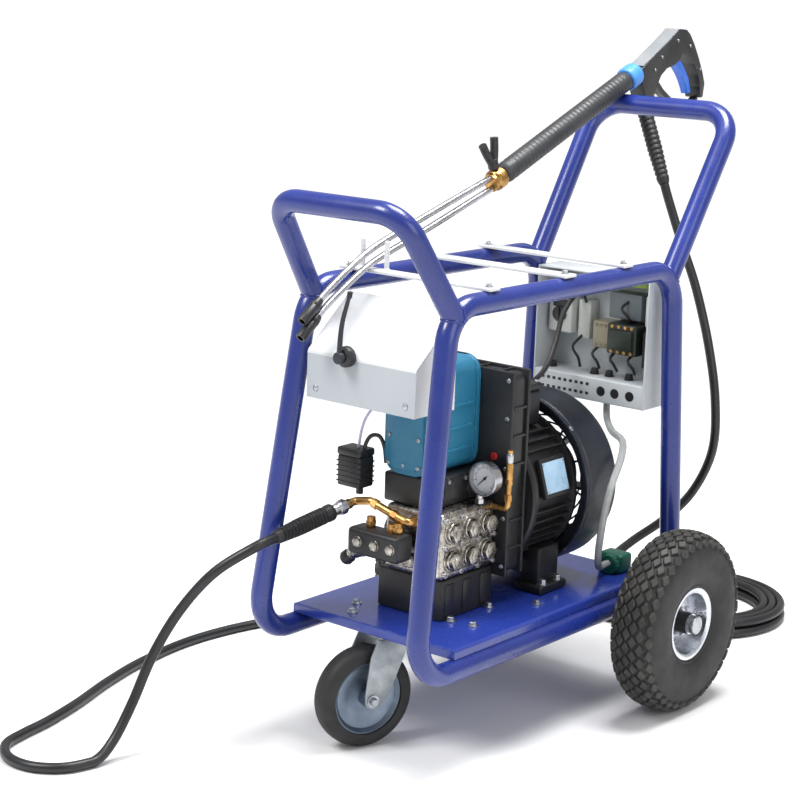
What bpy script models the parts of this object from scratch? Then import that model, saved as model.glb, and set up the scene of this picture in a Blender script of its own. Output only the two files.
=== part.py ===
"""Trolley pressure washer: electric motor, geared pump, gun with lance and hose on a two-handled tube frame.

Metres. +X is the right-hand side, -Y is the front (pump end), +Z is up.
The pieces are laid out around the deck and moved at the end, so that the origin is on
the floor under the middle of the object without its hose.
"""
from math import ceil, cos, pi, radians, sin

import bmesh
import bpy
from mathutils import Matrix, Vector

# ---------------------------------------------------------------- driving dimensions
GAP = 0.0003                     # clearance between pieces that rest on each other

TUBE_R = 0.017                   # frame tube, 34 mm across
RAIL_Z = 0.164                   # centre of the bottom rails
RACK_Z = 0.705                   # centre of the top rails
BOTTOM_X = 0.158                 # the two rings lean in a little towards the top
TOP_X = 0.134
FRONT_FOOT_Y = -0.385            # bottom front corner of a ring
FRONT_HEAD_Y = -0.304            # top front corner of a ring
REAR_FOOT_Y = 0.302
REAR_HEAD_Y = 0.290
FRONT_BAR = (0.120, -0.398, 0.845)   # corner of the front handle
REAR_BAR = (0.139, 0.449, 0.953)     # corner of the rear handle

PLATE_TOP = 0.197
PLATE_X = 0.161
PLATE_FRONT_Y = -0.297
PLATE_REAR_Y = 0.238
SHEET = 0.003

WHEEL_R = 0.150
WHEEL_X = 0.246
WHEEL_Y = 0.184
TYRE_HALF = 0.040
AXLE_R = 0.010

CASTER_R = 0.080
CASTER_HALF = 0.020
SWIVEL_Y = -0.250
CASTER_TRAIL = 0.045
CASTER_TURN = radians(70)        # how far the caster's axle is turned from the front towards the right

DRIVE_X = -0.015                 # motor shaft and crankshaft lie in this plane
MOTOR_Z = 0.357
CRANK_Z = 0.473
MOTOR_R = 0.122
MOTOR_FRONT = -0.0315
MOTOR_REAR = 0.086
COWL_R = 0.145
COWL_FRONT = 0.080
COWL_REAR = 0.172
GEARBOX_FRONT = -0.080
GEARBOX_REAR = -0.032
PINION_TEETH = 17
CRANK_TEETH = 23
SHAFT_R = 0.012

PUMP_FRONT = -0.213
PUMP_REAR = GEARBOX_FRONT - GAP
CRANKCASE_X = (-0.058, 0.028)
CRANKCASE_Z = (0.415, 0.592)
MANIFOLD_X = (-0.045, 0.068)
MANIFOLD_Z = (0.262, 0.368)

LANCE_X = -0.085                 # the gun and lance lie in this plane
HOSE_D = 0.016
FLOOR_GAP = 0.0005               # between the floor and a hose that lies on it

COLOURS = {
    "blue_frame": ((0.030, 0.055, 0.420, 1), 0.35, 0.0),
    "black_paint": ((0.015, 0.015, 0.018, 1), 0.45, 0.0),
    "teal_paint": ((0.030, 0.230, 0.360, 1), 0.40, 0.0),
    "white_sheet": ((0.800, 0.820, 0.830, 1), 0.40, 0.0),
    "nickel": ((0.550, 0.530, 0.500, 1), 0.30, 1.0),
    "zinc": ((0.480, 0.500, 0.520, 1), 0.38, 1.0),
    "brass": ((0.620, 0.390, 0.140, 1), 0.30, 1.0),
    "steel": ((0.600, 0.600, 0.610, 1), 0.25, 1.0),
    "rubber": ((0.018, 0.018, 0.019, 1), 0.80, 0.0),
    "black_plastic": ((0.020, 0.020, 0.022, 1), 0.50, 0.0),
    "blue_plastic": ((0.080, 0.300, 0.750, 1), 0.40, 0.0),
    "grey_plastic": ((0.500, 0.540, 0.560, 1), 0.50, 0.0),
    "green_plastic": ((0.010, 0.200, 0.130, 1), 0.50, 0.0),
}


# ---------------------------------------------------------------- helpers
def clear_scene():
    for obj in list(bpy.data.objects):
        bpy.data.objects.remove(obj, do_unlink=True)


def material(name):
    found = bpy.data.materials.get(name)
    if found:
        return found
    colour, roughness, metallic = COLOURS[name]
    made = bpy.data.materials.new(name)
    made.use_nodes = True
    shader = made.node_tree.nodes["Principled BSDF"]
    shader.inputs["Base Color"].default_value = colour
    shader.inputs["Roughness"].default_value = roughness
    shader.inputs["Metallic"].default_value = metallic
    return made


def add_object(name, bm, finish, origin=(0, 0, 0)):
    """Make an object from world-space geometry, with its origin where its joint is."""
    bmesh.ops.remove_doubles(bm, verts=bm.verts, dist=1e-6)
    bmesh.ops.recalc_face_normals(bm, faces=bm.faces)
    bmesh.ops.translate(bm, verts=bm.verts, vec=-Vector(origin))
    mesh = bpy.data.meshes.new(name)
    bm.to_mesh(mesh)
    bm.free()
    mesh.shade_smooth()
    mesh.set_sharp_from_angle(angle=radians(35))
    obj = bpy.data.objects.new(name, mesh)
    obj.location = origin
    bpy.context.scene.collection.objects.link(obj)
    obj.data.materials.append(material(finish))
    return obj


def combine(target, other, operation):
    """Boolean the other object into the target and remove it."""
    bpy.context.view_layer.update()
    modifier = target.modifiers.new(operation.lower(), "BOOLEAN")
    modifier.operation = operation
    modifier.object = other
    graph = bpy.context.evaluated_depsgraph_get()
    mesh = bpy.data.meshes.new_from_object(target.evaluated_get(graph))
    target.modifiers.clear()
    target.data = mesh
    bpy.data.objects.remove(other, do_unlink=True)
    return target


def bevel_edges(bm, edges, width, segments=1):
    bmesh.ops.bevel(bm, geom=edges, offset=width, segments=segments, affect="EDGES", profile=0.5)


def box_mesh(low, high, bevel=0.0, segments=1):
    bm = bmesh.new()
    size = Vector(high) - Vector(low)
    centre = (Vector(high) + Vector(low)) / 2
    bmesh.ops.create_cube(bm, size=1, matrix=Matrix.Translation(centre) @ Matrix.Diagonal((*size, 1)))
    if bevel:
        bevel_edges(bm, list(bm.edges), bevel, segments)
    return bm


def box(name, low, high, finish, bevel=0.0, segments=1, origin=(0, 0, 0)):
    return add_object(name, box_mesh(low, high, bevel, segments), finish, origin)


def frame_matrix(centre, direction):
    """Local +Z points along the direction, at the centre."""
    turn = Vector(direction).normalized().to_track_quat("Z", "Y").to_matrix().to_4x4()
    return Matrix.Translation(centre) @ turn


def lathe_mesh(profile, centre, direction, steps=24, closed=False):
    """Turn (radius, height) points about the direction; a closed profile makes a ring."""
    bm = bmesh.new()
    place = frame_matrix(centre, direction)
    rings = []
    for radius, height in profile:
        if radius == 0:
            rings.append([bm.verts.new(place @ Vector((0, 0, height)))])
            continue
        ring = []
        for i in range(steps):
            angle = 2 * pi * i / steps
            ring.append(bm.verts.new(place @ Vector((radius * cos(angle), radius * sin(angle), height))))
        rings.append(ring)
    pairs = list(zip(rings, rings[1:]))
    if closed:
        pairs.append((rings[-1], rings[0]))
    for low, high in pairs:
        for i in range(steps):
            j = (i + 1) % steps
            corners = [low[i % len(low)], low[j % len(low)], high[j % len(high)], high[i % len(high)]]
            bm.faces.new(list(dict.fromkeys(corners)))
    return bm


def lathe(name, profile, centre, direction, finish, steps=24, closed=False, origin=(0, 0, 0)):
    return add_object(name, lathe_mesh(profile, centre, direction, steps, closed), finish, origin)


def rod(name, start, end, radius, finish, steps=16, origin=(0, 0, 0)):
    start = Vector(start)
    length = (Vector(end) - start).length
    profile = [(0, 0), (radius, 0), (radius, length), (0, length)]
    return lathe(name, profile, start, Vector(end) - start, finish, steps, origin=origin)


def prism_mesh(outline, centre, direction, length):
    """Extrude an outline of (u, v) points along the direction from the centre."""
    bm = bmesh.new()
    place = frame_matrix(centre, direction)
    bottom = [bm.verts.new(place @ Vector((u, v, 0))) for u, v in outline]
    top = [bm.verts.new(place @ Vector((u, v, length))) for u, v in outline]
    bm.faces.new(bottom)
    bm.faces.new(top)
    count = len(outline)
    for i in range(count):
        j = (i + 1) % count
        bm.faces.new([bottom[i], bottom[j], top[j], top[i]])
    return bm


def slab_mesh(outline, x_low, x_high):
    """Extrude an outline of (y, z) points from x_low to x_high."""
    bm = bmesh.new()
    left = [bm.verts.new((x_low, y, z)) for y, z in outline]
    right = [bm.verts.new((x_high, y, z)) for y, z in outline]
    bm.faces.new(left)
    bm.faces.new(right)
    count = len(outline)
    for i in range(count):
        j = (i + 1) % count
        bm.faces.new([left[i], left[j], right[j], right[i]])
    return bm


def rounded_path(corners, radius, steps=5, cyclic=False):
    """Replace each corner of a path by an arc of the given radius."""
    points = [Vector(c) for c in corners]
    count = len(points)
    path = []
    for i, corner in enumerate(points):
        if not cyclic and i in (0, count - 1):
            path.append(corner)
            continue
        back = (points[i - 1] - corner).normalized()
        ahead = (points[(i + 1) % count] - corner).normalized()
        half = back.angle(ahead) / 2
        reach = radius * cos(half) / sin(half)
        centre = corner + (back + ahead).normalized() * (radius / sin(half))
        first = (corner + back * reach - centre).normalized()
        last = (corner + ahead * reach - centre).normalized()
        for k in range(steps + 1):
            path.append(centre + first.slerp(last, k / steps) * radius)
    return path


def sweep_mesh(path, radius, sides=12, cyclic=False):
    """A round tube along a path, solid, with flat ends when it is not cyclic."""
    bm = bmesh.new()
    count = len(path)
    rings = []
    normal = None
    for i, point in enumerate(path):
        before = path[i - 1] if (i or cyclic) else point
        after = path[(i + 1) % count] if (i < count - 1 or cyclic) else point
        tangent = (after - before).normalized()
        if normal is None:
            normal = tangent.orthogonal()
        normal = (normal - tangent * normal.dot(tangent)).normalized()
        side = tangent.cross(normal)
        ring = []
        for k in range(sides):
            angle = 2 * pi * (k + 0.5) / sides
            ring.append(bm.verts.new(point + radius * (normal * cos(angle) + side * sin(angle))))
        rings.append(ring)
    pairs = list(zip(rings, rings[1:]))
    if cyclic:
        pairs.append((rings[-1], rings[0]))
    for low, high in pairs:
        for k in range(sides):
            m = (k + 1) % sides
            bm.faces.new([low[k], low[m], high[m], high[k]])
    if not cyclic:
        bm.faces.new(rings[0])
        bm.faces.new(rings[-1])
    return bm


def tube(name, path, radius, finish, sides=12, cyclic=False, origin=(0, 0, 0)):
    return add_object(name, sweep_mesh(path, radius, sides, cyclic), finish, origin)


def smooth_route(points, spacing):
    """Points at an even spacing on a smooth curve through the route's own points."""
    route = [Vector(p) for p in points]
    route = [route[0] * 2 - route[1]] + route + [route[-1] * 2 - route[-2]]
    path = [route[1]]
    for a, b, c, d in zip(route, route[1:], route[2:], route[3:]):
        pieces = max(1, ceil((c - b).length / spacing))
        for k in range(1, pieces + 1):
            t = k / pieces
            path.append(0.5 * (2 * b + (c - a) * t + (2 * a - 5 * b + 4 * c - d) * t ** 2
                               + (3 * b - a - 3 * c + d) * t ** 3))
    return path


def cord(name, points, diameter, finish, spacing, resolution=2):
    """A flexible cord as a curve with a round bevel and filled caps."""
    path = smooth_route(points, spacing)
    curve = bpy.data.curves.new(name, "CURVE")
    curve.dimensions = "3D"
    curve.bevel_depth = diameter / 2
    curve.bevel_resolution = resolution
    curve.use_fill_caps = True
    spline = curve.splines.new("POLY")
    spline.points.add(len(path) - 1)
    for place, point in zip(spline.points, path):
        point.z = max(point.z, diameter / 2 + FLOOR_GAP)
        place.co = (*point, 1)
    obj = bpy.data.objects.new(name, curve)
    bpy.context.scene.collection.objects.link(obj)
    curve.materials.append(material(finish))
    return obj


# ---------------------------------------------------------------- frame
RING_BEND = 0.062


def ring_corners(side):
    return [(side * BOTTOM_X, FRONT_FOOT_Y, RAIL_Z), (side * TOP_X, FRONT_HEAD_Y, RACK_Z),
            (side * TOP_X, REAR_HEAD_Y, RACK_Z), (side * BOTTOM_X, REAR_FOOT_Y, RAIL_Z)]


def ring_frame(name, side, radius=TUBE_R):
    """One side of the trolley: a bent tube loop, with a saddle in its bottom rail for the axle."""
    path = rounded_path(ring_corners(side), RING_BEND, steps=4, cyclic=True)
    ring = tube(name, path, radius, "blue_frame", cyclic=True)
    saddle = rod("saddle", (-0.25, WHEEL_Y, WHEEL_R), (0.25, WHEEL_Y, WHEEL_R), AXLE_R + GAP, "zinc")
    return combine(ring, saddle, "DIFFERENCE")


def handle(name, head_y, bar, bend):
    """A hoop welded on the top corners of the two rings, trimmed to them."""
    head = Vector((TOP_X, head_y, RACK_Z))
    head += (head - Vector(bar)).normalized() * RING_BEND * 0.37
    corners = [head, bar, (-bar[0], *bar[1:]), (-head.x, head.y, head.z)]
    hoop = tube(name, rounded_path(corners, bend, steps=5), TUBE_R, "blue_frame")
    for side in (1, -1):
        combine(hoop, ring_frame("trim", side, TUBE_R + GAP), "DIFFERENCE")
    return keep_largest_shell(hoop)


def keep_largest_shell(obj):
    """Drop the offcut that a trim leaves behind the welded end."""
    bm = bmesh.new()
    bm.from_mesh(obj.data)
    unseen = set(bm.verts)
    shells = []
    while unseen:
        shell = set()
        edge_of_shell = [unseen.pop()]
        while edge_of_shell:
            vert = edge_of_shell.pop()
            shell.add(vert)
            near = {e.other_vert(vert) for e in vert.link_edges} & unseen
            unseen -= near
            edge_of_shell.extend(near)
        shells.append(shell)
    largest = max(shells, key=len)
    bmesh.ops.delete(bm, geom=[v for v in bm.verts if v not in largest], context="VERTS")
    bm.to_mesh(obj.data)
    bm.free()
    return obj


def base_plate():
    """Sheet deck with its edges folded down onto the bottom rails."""
    lip_low = RAIL_Z + TUBE_R + GAP
    plate = box("base_plate", (-PLATE_X, PLATE_FRONT_Y, lip_low), (PLATE_X, PLATE_REAR_Y, PLATE_TOP),
                "blue_frame")
    inside = box("inside", (-PLATE_X + SHEET, PLATE_FRONT_Y + SHEET, lip_low - 0.01),
                 (PLATE_X - SHEET, PLATE_REAR_Y + 0.01, PLATE_TOP - SHEET), "blue_frame")
    return combine(plate, inside, "DIFFERENCE")


RACK_TOP = RACK_Z + TUBE_R + GAP
BAR_THICK = 0.005
BAR_HALF = TOP_X + 0.012
FRONT_BAR_Y = -0.212
REST_X = (LANCE_X - 0.024, LANCE_X + 0.024)


def crossbar(name, y, width):
    """Flat bar across the two top rails."""
    return box(name, (-BAR_HALF, y - width / 2, RACK_TOP), (BAR_HALF, y + width / 2, RACK_TOP + BAR_THICK),
               "white_sheet")


def front_crossbar():
    """The front bar carries the two posts between which the lance lies."""
    bar = crossbar("crossbar_front", FRONT_BAR_Y, 0.026)
    for x in REST_X:
        post = rod("post", (x, FRONT_BAR_Y, RACK_TOP + 0.001), (x, FRONT_BAR_Y, RACK_TOP + 0.050), 0.004,
                   "steel", steps=8)
        combine(bar, post, "UNION")
    return bar


CONSOLE_X = (-0.1155, 0.095)
CONSOLE_FRONT = -0.326
CONSOLE_FOLD_Z = 0.612
CONSOLE_LOW_Z = 0.540
CONSOLE_BACK = (-0.232, 0.692)


def front_console():
    """Folded sheet cover: upright apron, sloping top and two cheeks, open below and behind."""
    def outline(inset):
        front = CONSOLE_FRONT + inset
        slope = Vector((CONSOLE_BACK[0] - CONSOLE_FRONT, CONSOLE_BACK[1] - CONSOLE_FOLD_Z)).normalized()
        drop = inset / slope.x
        low = CONSOLE_LOW_Z - (0.01 if inset else 0)
        rear = CONSOLE_BACK[0] + (0.01 if inset else 0)
        fold = CONSOLE_FOLD_Z + inset * slope.y / slope.x - drop
        top = fold + (rear - front) * slope.y / slope.x
        return [(front, low), (front, fold), (rear, top), (rear, low)]

    cover = add_object("front_console", slab_mesh(outline(0), *CONSOLE_X), "white_sheet")
    inside = add_object("inside", slab_mesh(outline(SHEET), CONSOLE_X[0] + SHEET, CONSOLE_X[1] - SHEET),
                        "white_sheet")
    return combine(cover, inside, "DIFFERENCE")


LEVER_PIVOT = Vector((-0.034, CONSOLE_FRONT - GAP, 0.614))


def bypass_valve():
    """Quarter-turn valve standing on the front of the console, with its lever."""
    body = lathe("bypass_valve", [(0, 0), (0.016, 0), (0.016, 0.010), (0.011, 0.016), (0, 0.016)],
                 LEVER_PIVOT, (0, -1, 0), "steel", steps=16)
    pivot = LEVER_PIVOT + Vector((0, -0.0163, 0))
    lever = lathe("bypass_lever", [(0, 0), (0.009, 0), (0.009, 0.010), (0, 0.010)], pivot, (0, -1, 0),
                  "steel", steps=12, origin=pivot)
    arm = rod("arm", pivot + Vector((0, -0.005, 0.004)), pivot + Vector((0.018, -0.005, 0.100)), 0.0042,
              "steel", steps=8, origin=pivot)
    combine(lever, arm, "UNION")
    return body, lever


# ---------------------------------------------------------------- wheels and caster
AXLE_END = 0.288
BRACKET_X = 0.128


def rear_axle():
    """Through axle with a shoulder washer outside each hub."""
    profile = [(0, -AXLE_END), (0.015, -AXLE_END), (0.015, -0.2763), (AXLE_R, -0.2763),
               (AXLE_R, 0.2763), (0.015, 0.2763), (0.015, AXLE_END), (0, AXLE_END)]
    return lathe("rear_axle", profile, (0, WHEEL_Y, WHEEL_R), (1, 0, 0), "zinc", steps=16)


def axle_bracket():
    """Channel under the deck whose two cheeks carry the axle."""
    top = PLATE_TOP - SHEET - GAP
    channel = box("axle_bracket", (-BRACKET_X, WHEEL_Y - 0.025, WHEEL_R - 0.022),
                  (BRACKET_X, WHEEL_Y + 0.025, top), "blue_frame")
    inside = box("inside", (-BRACKET_X + 0.005, WHEEL_Y - 0.030, WHEEL_R - 0.030),
                 (BRACKET_X - 0.005, WHEEL_Y + 0.030, top - 0.005), "blue_frame")
    combine(channel, inside, "DIFFERENCE")
    bore = rod("bore", (-0.2, WHEEL_Y, WHEEL_R), (0.2, WHEEL_Y, WHEEL_R), AXLE_R + GAP, "zinc")
    return combine(channel, bore, "DIFFERENCE")


RIM_SEAT = 0.054
RIM_FLANGE = 0.060
RIM_HALF = 0.031


def rim_profile():
    """Closed half-section of the pressed rim with its hub, bored for the axle."""
    bore = AXLE_R + GAP
    return [(bore, -0.030), (0.017, -0.030), (0.017, -0.006), (0.046, -0.010), (0.050, -RIM_HALF),
            (RIM_FLANGE, -RIM_HALF), (RIM_FLANGE, -RIM_HALF + 0.003), (RIM_SEAT, -RIM_HALF + 0.006),
            (RIM_SEAT, RIM_HALF - 0.006), (RIM_FLANGE, RIM_HALF - 0.003), (RIM_FLANGE, RIM_HALF),
            (0.050, RIM_HALF), (0.046, -0.003), (0.017, 0.001), (0.017, 0.030), (bore, 0.030)]


def tyre_profile():
    """Closed half-section of the tyre: beads, bulging sidewalls and a crowned tread."""
    bead = RIM_HALF - 0.0065
    half = []
    section_r = 0.105
    for k in range(7):
        angle = radians(-55 + k * 145 / 6)
        width = TYRE_HALF * abs(cos(angle)) ** 0.55
        height = section_r + (WHEEL_R - section_r) * abs(sin(angle)) ** 0.9 * (1 if angle > 0 else -1)
        half.append((height, width))
    half[-1] = (WHEEL_R, 0.0)
    left = [(r, -w) for r, w in half]
    right = [(r, w) for r, w in reversed(half[:-1])]
    return [(RIM_SEAT + GAP, -bead)] + left + right + [(RIM_SEAT + GAP, bead)]


def rear_wheel(prefix, side):
    centre = (side * WHEEL_X, WHEEL_Y, WHEEL_R)
    direction = (side, 0, 0)
    lathe(prefix + "_rim", rim_profile(), centre, direction, "steel", closed=True, origin=centre)
    lathe(prefix + "_tyre", tyre_profile(), centre, direction, "rubber", closed=True, origin=centre)


CASTER_AXIS = Vector((sin(CASTER_TURN), -cos(CASTER_TURN), 0))
TRAIL_WAY = Vector((CASTER_AXIS.y, -CASTER_AXIS.x, 0))
CASTER_CENTRE = Vector((0, SWIVEL_Y, CASTER_R)) + TRAIL_WAY * CASTER_TRAIL
CASTER_TOP = PLATE_TOP - SHEET - GAP
FORK_TOP = 0.180
FORK_HALF = 0.028


def caster_plate():
    low = CASTER_TOP - 0.004
    plate = box("caster_plate", (-0.050, SWIVEL_Y - 0.043, low), (0.050, SWIVEL_Y + 0.043, CASTER_TOP), "zinc")
    race = lathe("race", [(0, 0), (0.030, 0), (0.034, 0.007), (0.034, 0.012), (0, 0.012)],
                 (0, SWIVEL_Y, FORK_TOP + GAP), (0, 0, 1), "zinc")
    return combine(plate, race, "UNION")


def caster_fork():
    """Pressed fork: a crown disc and two legs that sweep back to the wheel's axle."""
    centre = Vector((0, SWIVEL_Y, 0))
    fork = lathe("caster_fork", [(0, 0), (0.034, 0), (0.034, 0.008), (0, 0.008)],
                 (0, SWIVEL_Y, FORK_TOP - 0.008), (0, 0, 1), "zinc", steps=16, origin=centre)
    for side in (1, -1):
        face = centre + CASTER_AXIS * (side * FORK_HALF - (0.003 if side < 0 else 0))
        outline = [(-0.022, FORK_TOP - 0.004), (0.038, FORK_TOP - 0.004), (0.050, 0.150),
                   (CASTER_TRAIL + 0.013, CASTER_R + 0.010), (CASTER_TRAIL + 0.010, CASTER_R - 0.012),
                   (CASTER_TRAIL - 0.012, CASTER_R - 0.014), (CASTER_TRAIL - 0.030, CASTER_R + 0.008)]
        bm = bmesh.new()
        rows = []
        for step in (0, 0.003):
            rows.append([bm.verts.new(face + CASTER_AXIS * step + TRAIL_WAY * along + Vector((0, 0, height)))
                         for along, height in outline])
        bm.faces.new(rows[0])
        bm.faces.new(rows[1])
        for i in range(len(outline)):
            j = (i + 1) % len(outline)
            bm.faces.new([rows[0][i], rows[0][j], rows[1][j], rows[1][i]])
        leg = add_object("leg", bm, "zinc")
        combine(fork, leg, "UNION")
    reach = CASTER_AXIS * 0.05
    bore = rod("bore", CASTER_CENTRE - reach, CASTER_CENTRE + reach, 0.006 + GAP, "zinc")
    return combine(fork, bore, "DIFFERENCE")


def caster_axle():
    """Bolt with a head and a nut outside the fork legs."""
    head = FORK_HALF + 0.003 + GAP
    end = head + 0.007
    profile = [(0, -end), (0.010, -end), (0.010, -head), (0.006, -head), (0.006, head), (0.010, head),
               (0.010, end), (0, end)]
    lathe("caster_axle", profile, CASTER_CENTRE, CASTER_AXIS, "zinc", steps=12)


def caster_wheel():
    bore = 0.006 + GAP
    hub = FORK_HALF - GAP
    rim = [(bore, -hub), (0.013, -hub), (0.013, -0.009), (0.050, -0.009), (0.0555, -0.016), (0.0575, -0.016),
           (0.0575, 0.016), (0.0555, 0.016), (0.050, 0.009), (0.013, 0.009), (0.013, hub), (bore, hub)]
    lathe("caster_rim", rim, CASTER_CENTRE, CASTER_AXIS, "zinc", closed=True, origin=CASTER_CENTRE)
    seat = 0.0575 + GAP
    tyre = [(seat, -CASTER_HALF), (0.068, -CASTER_HALF), (0.076, -0.016), (CASTER_R, -0.007),
            (CASTER_R, 0.007), (0.076, 0.016), (0.068, CASTER_HALF), (seat, CASTER_HALF)]
    lathe("caster_tyre", tyre, CASTER_CENTRE, CASTER_AXIS, "rubber", closed=True, origin=CASTER_CENTRE)


# ---------------------------------------------------------------- motor and gearbox
MOTOR_AXIS = Vector((DRIVE_X, 0, MOTOR_Z))
CRANK_AXIS = Vector((DRIVE_X, 0, CRANK_Z))


def motor_casing():
    """Stator housing: a barrel with two end walls bored for the shaft, on cast feet."""
    bore = 0.016
    profile = [(bore, MOTOR_FRONT), (MOTOR_R, MOTOR_FRONT), (MOTOR_R, MOTOR_REAR), (bore, MOTOR_REAR),
               (bore, MOTOR_REAR - 0.010), (0.102, MOTOR_REAR - 0.010), (0.102, MOTOR_FRONT + 0.010),
               (bore, MOTOR_FRONT + 0.010)]
    casing = lathe("motor_casing", profile, MOTOR_AXIS, (0, 1, 0), "black_paint", steps=32, closed=True)
    for inner, outer in ((0.060, 0.115), (-0.060, -0.115)):
        low = (DRIVE_X + min(inner, outer), 0.006, PLATE_TOP + GAP)
        high = (DRIVE_X + max(inner, outer), 0.078, 0.270)
        combine(casing, box("foot", low, high, "black_paint"), "UNION")
    return casing


def fan_cowl():
    """Cup over the fan, open towards the motor."""
    wall = COWL_R - 0.003
    profile = [(0, COWL_REAR), (COWL_R - 0.012, COWL_REAR), (COWL_R - 0.003, COWL_REAR - 0.004),
               (COWL_R, COWL_REAR - 0.014), (COWL_R, COWL_FRONT), (wall, COWL_FRONT),
               (wall, COWL_REAR - 0.012), (wall - 0.010, COWL_REAR - 0.003), (0, COWL_REAR - 0.003)]
    return lathe("fan_cowl", profile, MOTOR_AXIS, (0, 1, 0), "black_paint", steps=36)


def motor_rotor():
    """Shaft with the rotor core on it."""
    profile = [(0, -0.071), (SHAFT_R, -0.071), (SHAFT_R, -0.040), (0.014, -0.038), (0.014, -0.012),
               (0.096, -0.012), (0.096, 0.068), (0.014, 0.068), (0.014, 0.096), (0.010, 0.098),
               (0.010, 0.150), (0, 0.150)]
    return lathe("motor_rotor", profile, MOTOR_AXIS, (0, 1, 0), "steel", steps=24, origin=MOTOR_AXIS)


def cooling_fan(blades=8):
    """Straight radial blades on a hub."""
    hub_r = 0.030
    tip_r = 0.118
    half = 0.0022
    outline = []
    for i in range(blades):
        angle = 2 * pi * i / blades
        for radius, offset in ((hub_r, -half), (tip_r, -half), (tip_r, half), (hub_r, half)):
            outline.append((radius * cos(angle) - offset * sin(angle), radius * sin(angle) + offset * cos(angle)))
    fan = add_object("cooling_fan", prism_mesh(outline, MOTOR_AXIS + Vector((0, 0.106, 0)), (0, 1, 0), 0.030),
                     "black_plastic", origin=MOTOR_AXIS)
    bore = rod("bore", MOTOR_AXIS + Vector((0, 0.09, 0)), MOTOR_AXIS + Vector((0, 0.16, 0)), 0.010 + GAP, "steel")
    return combine(fan, bore, "DIFFERENCE")


TERMINAL_Z = 0.532
TERMINAL_REAR = 0.066


def terminal_box():
    """Wiring box on the motor's back, its lid one with it, cut to the barrel."""
    body = box("terminal_box", (-0.066, -0.030, 0.440), (0.040, TERMINAL_REAR, TERMINAL_Z), "black_paint", bevel=0.006)
    barrel = rod("barrel", MOTOR_AXIS + Vector((0, -0.1, 0)), MOTOR_AXIS + Vector((0, 0.2, 0)),
                 MOTOR_R + GAP, "black_paint", steps=32)
    return combine(body, barrel, "DIFFERENCE")


GEARBOX_X = (-0.112, 0.090)
GEARBOX_Z = (0.245, 0.574)
GEARBOX_WALL = 0.006


def gear_housing():
    """Cast case between motor and pump; it holds the gear pair."""
    wall = GEARBOX_WALL
    low = (GEARBOX_X[0], GEARBOX_FRONT, GEARBOX_Z[0])
    high = (GEARBOX_X[1], GEARBOX_REAR, GEARBOX_Z[1])
    case = box("gear_housing", low, high, "black_paint", bevel=0.008)
    inside = box("inside", [value + wall for value in low], [value - wall for value in high], "black_paint")
    combine(case, inside, "DIFFERENCE")
    for axis, start, end in ((CRANK_AXIS, -0.1, -0.06), (MOTOR_AXIS, -0.05, -0.02)):
        bore = rod("bore", axis + Vector((0, start, 0)), axis + Vector((0, end, 0)), 0.0165, "steel")
        combine(case, bore, "DIFFERENCE")
    return case


GEAR_MODULE = 2 * (CRANK_Z - MOTOR_Z) / (PINION_TEETH + CRANK_TEETH)


PINION_TURN = pi / 2                       # a tooth points up into the crank gear
CRANK_TURN = -pi / 2 + pi / CRANK_TEETH    # a space points down at the pinion


def gear(name, teeth, axis, y, width, turn):
    """Spur gear with straight-flanked teeth, bored for its shaft."""
    pitch = GEAR_MODULE * teeth / 2
    root = pitch - 1.1 * GEAR_MODULE
    tip = pitch + 0.85 * GEAR_MODULE
    step = 2 * pi / teeth
    outline = []
    for i in range(teeth):
        middle = i * step + turn
        for radius, share in ((root, -0.30), (tip, -0.12), (tip, 0.12), (root, 0.30)):
            angle = middle + share * step
            outline.append((radius * cos(angle), radius * sin(angle)))
    wheel = add_object(name, prism_mesh(outline, axis + Vector((0, y, 0)), (0, 1, 0), width), "steel", origin=axis)
    bore = rod("bore", axis + Vector((0, y - 0.01, 0)), axis + Vector((0, y + width + 0.01, 0)), SHAFT_R + GAP,
               "steel")
    return combine(wheel, bore, "DIFFERENCE")


# ---------------------------------------------------------------- pump
def pump_crankcase():
    """Cast crankcase with a rounded top, open towards the gearbox."""
    low = Vector((CRANKCASE_X[0], PUMP_FRONT, CRANKCASE_Z[0]))
    high = Vector((CRANKCASE_X[1], PUMP_REAR, CRANKCASE_Z[1]))
    bm = box_mesh(low, high)
    along = [edge for edge in bm.edges if abs(edge.verts[0].co.y - edge.verts[1].co.y) > GAP]
    bevel_edges(bm, along, 0.018, segments=3)
    case = add_object("pump_crankcase", bm, "teal_paint")
    wall = Vector((0.007, 0.007, 0.007))
    inside = box("inside", low + wall, high - wall + Vector((0, 0.02, 0)), "teal_paint")
    return combine(case, inside, "DIFFERENCE")


def pump_crankshaft(throw=0.009):
    """Shaft with three eccentrics a third of a turn apart."""
    shaft = rod("pump_crankshaft", CRANK_AXIS + Vector((0, -0.198, 0)), CRANK_AXIS + Vector((0, -0.046, 0)),
                SHAFT_R, "steel", origin=CRANK_AXIS)
    for i in range(3):
        angle = 2 * pi * i / 3
        centre = CRANK_AXIS + Vector((throw * cos(angle), -0.186 + 0.036 * i, throw * sin(angle)))
        combine(shaft, rod("throw", centre, centre + Vector((0, 0.022, 0)), 0.024, "steel"), "UNION")
    return shaft


def plunger_housing():
    """Dark block between crankcase and manifold."""
    low = (-0.056, PUMP_FRONT + 0.004, MANIFOLD_Z[1] + GAP)
    high = (0.040, PUMP_REAR, CRANKCASE_Z[0] - GAP)
    return box("plunger_housing", low, high, "black_paint", bevel=0.004)


CAP_PITCH = 0.042
CAP_ROW = 0.022


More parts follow.
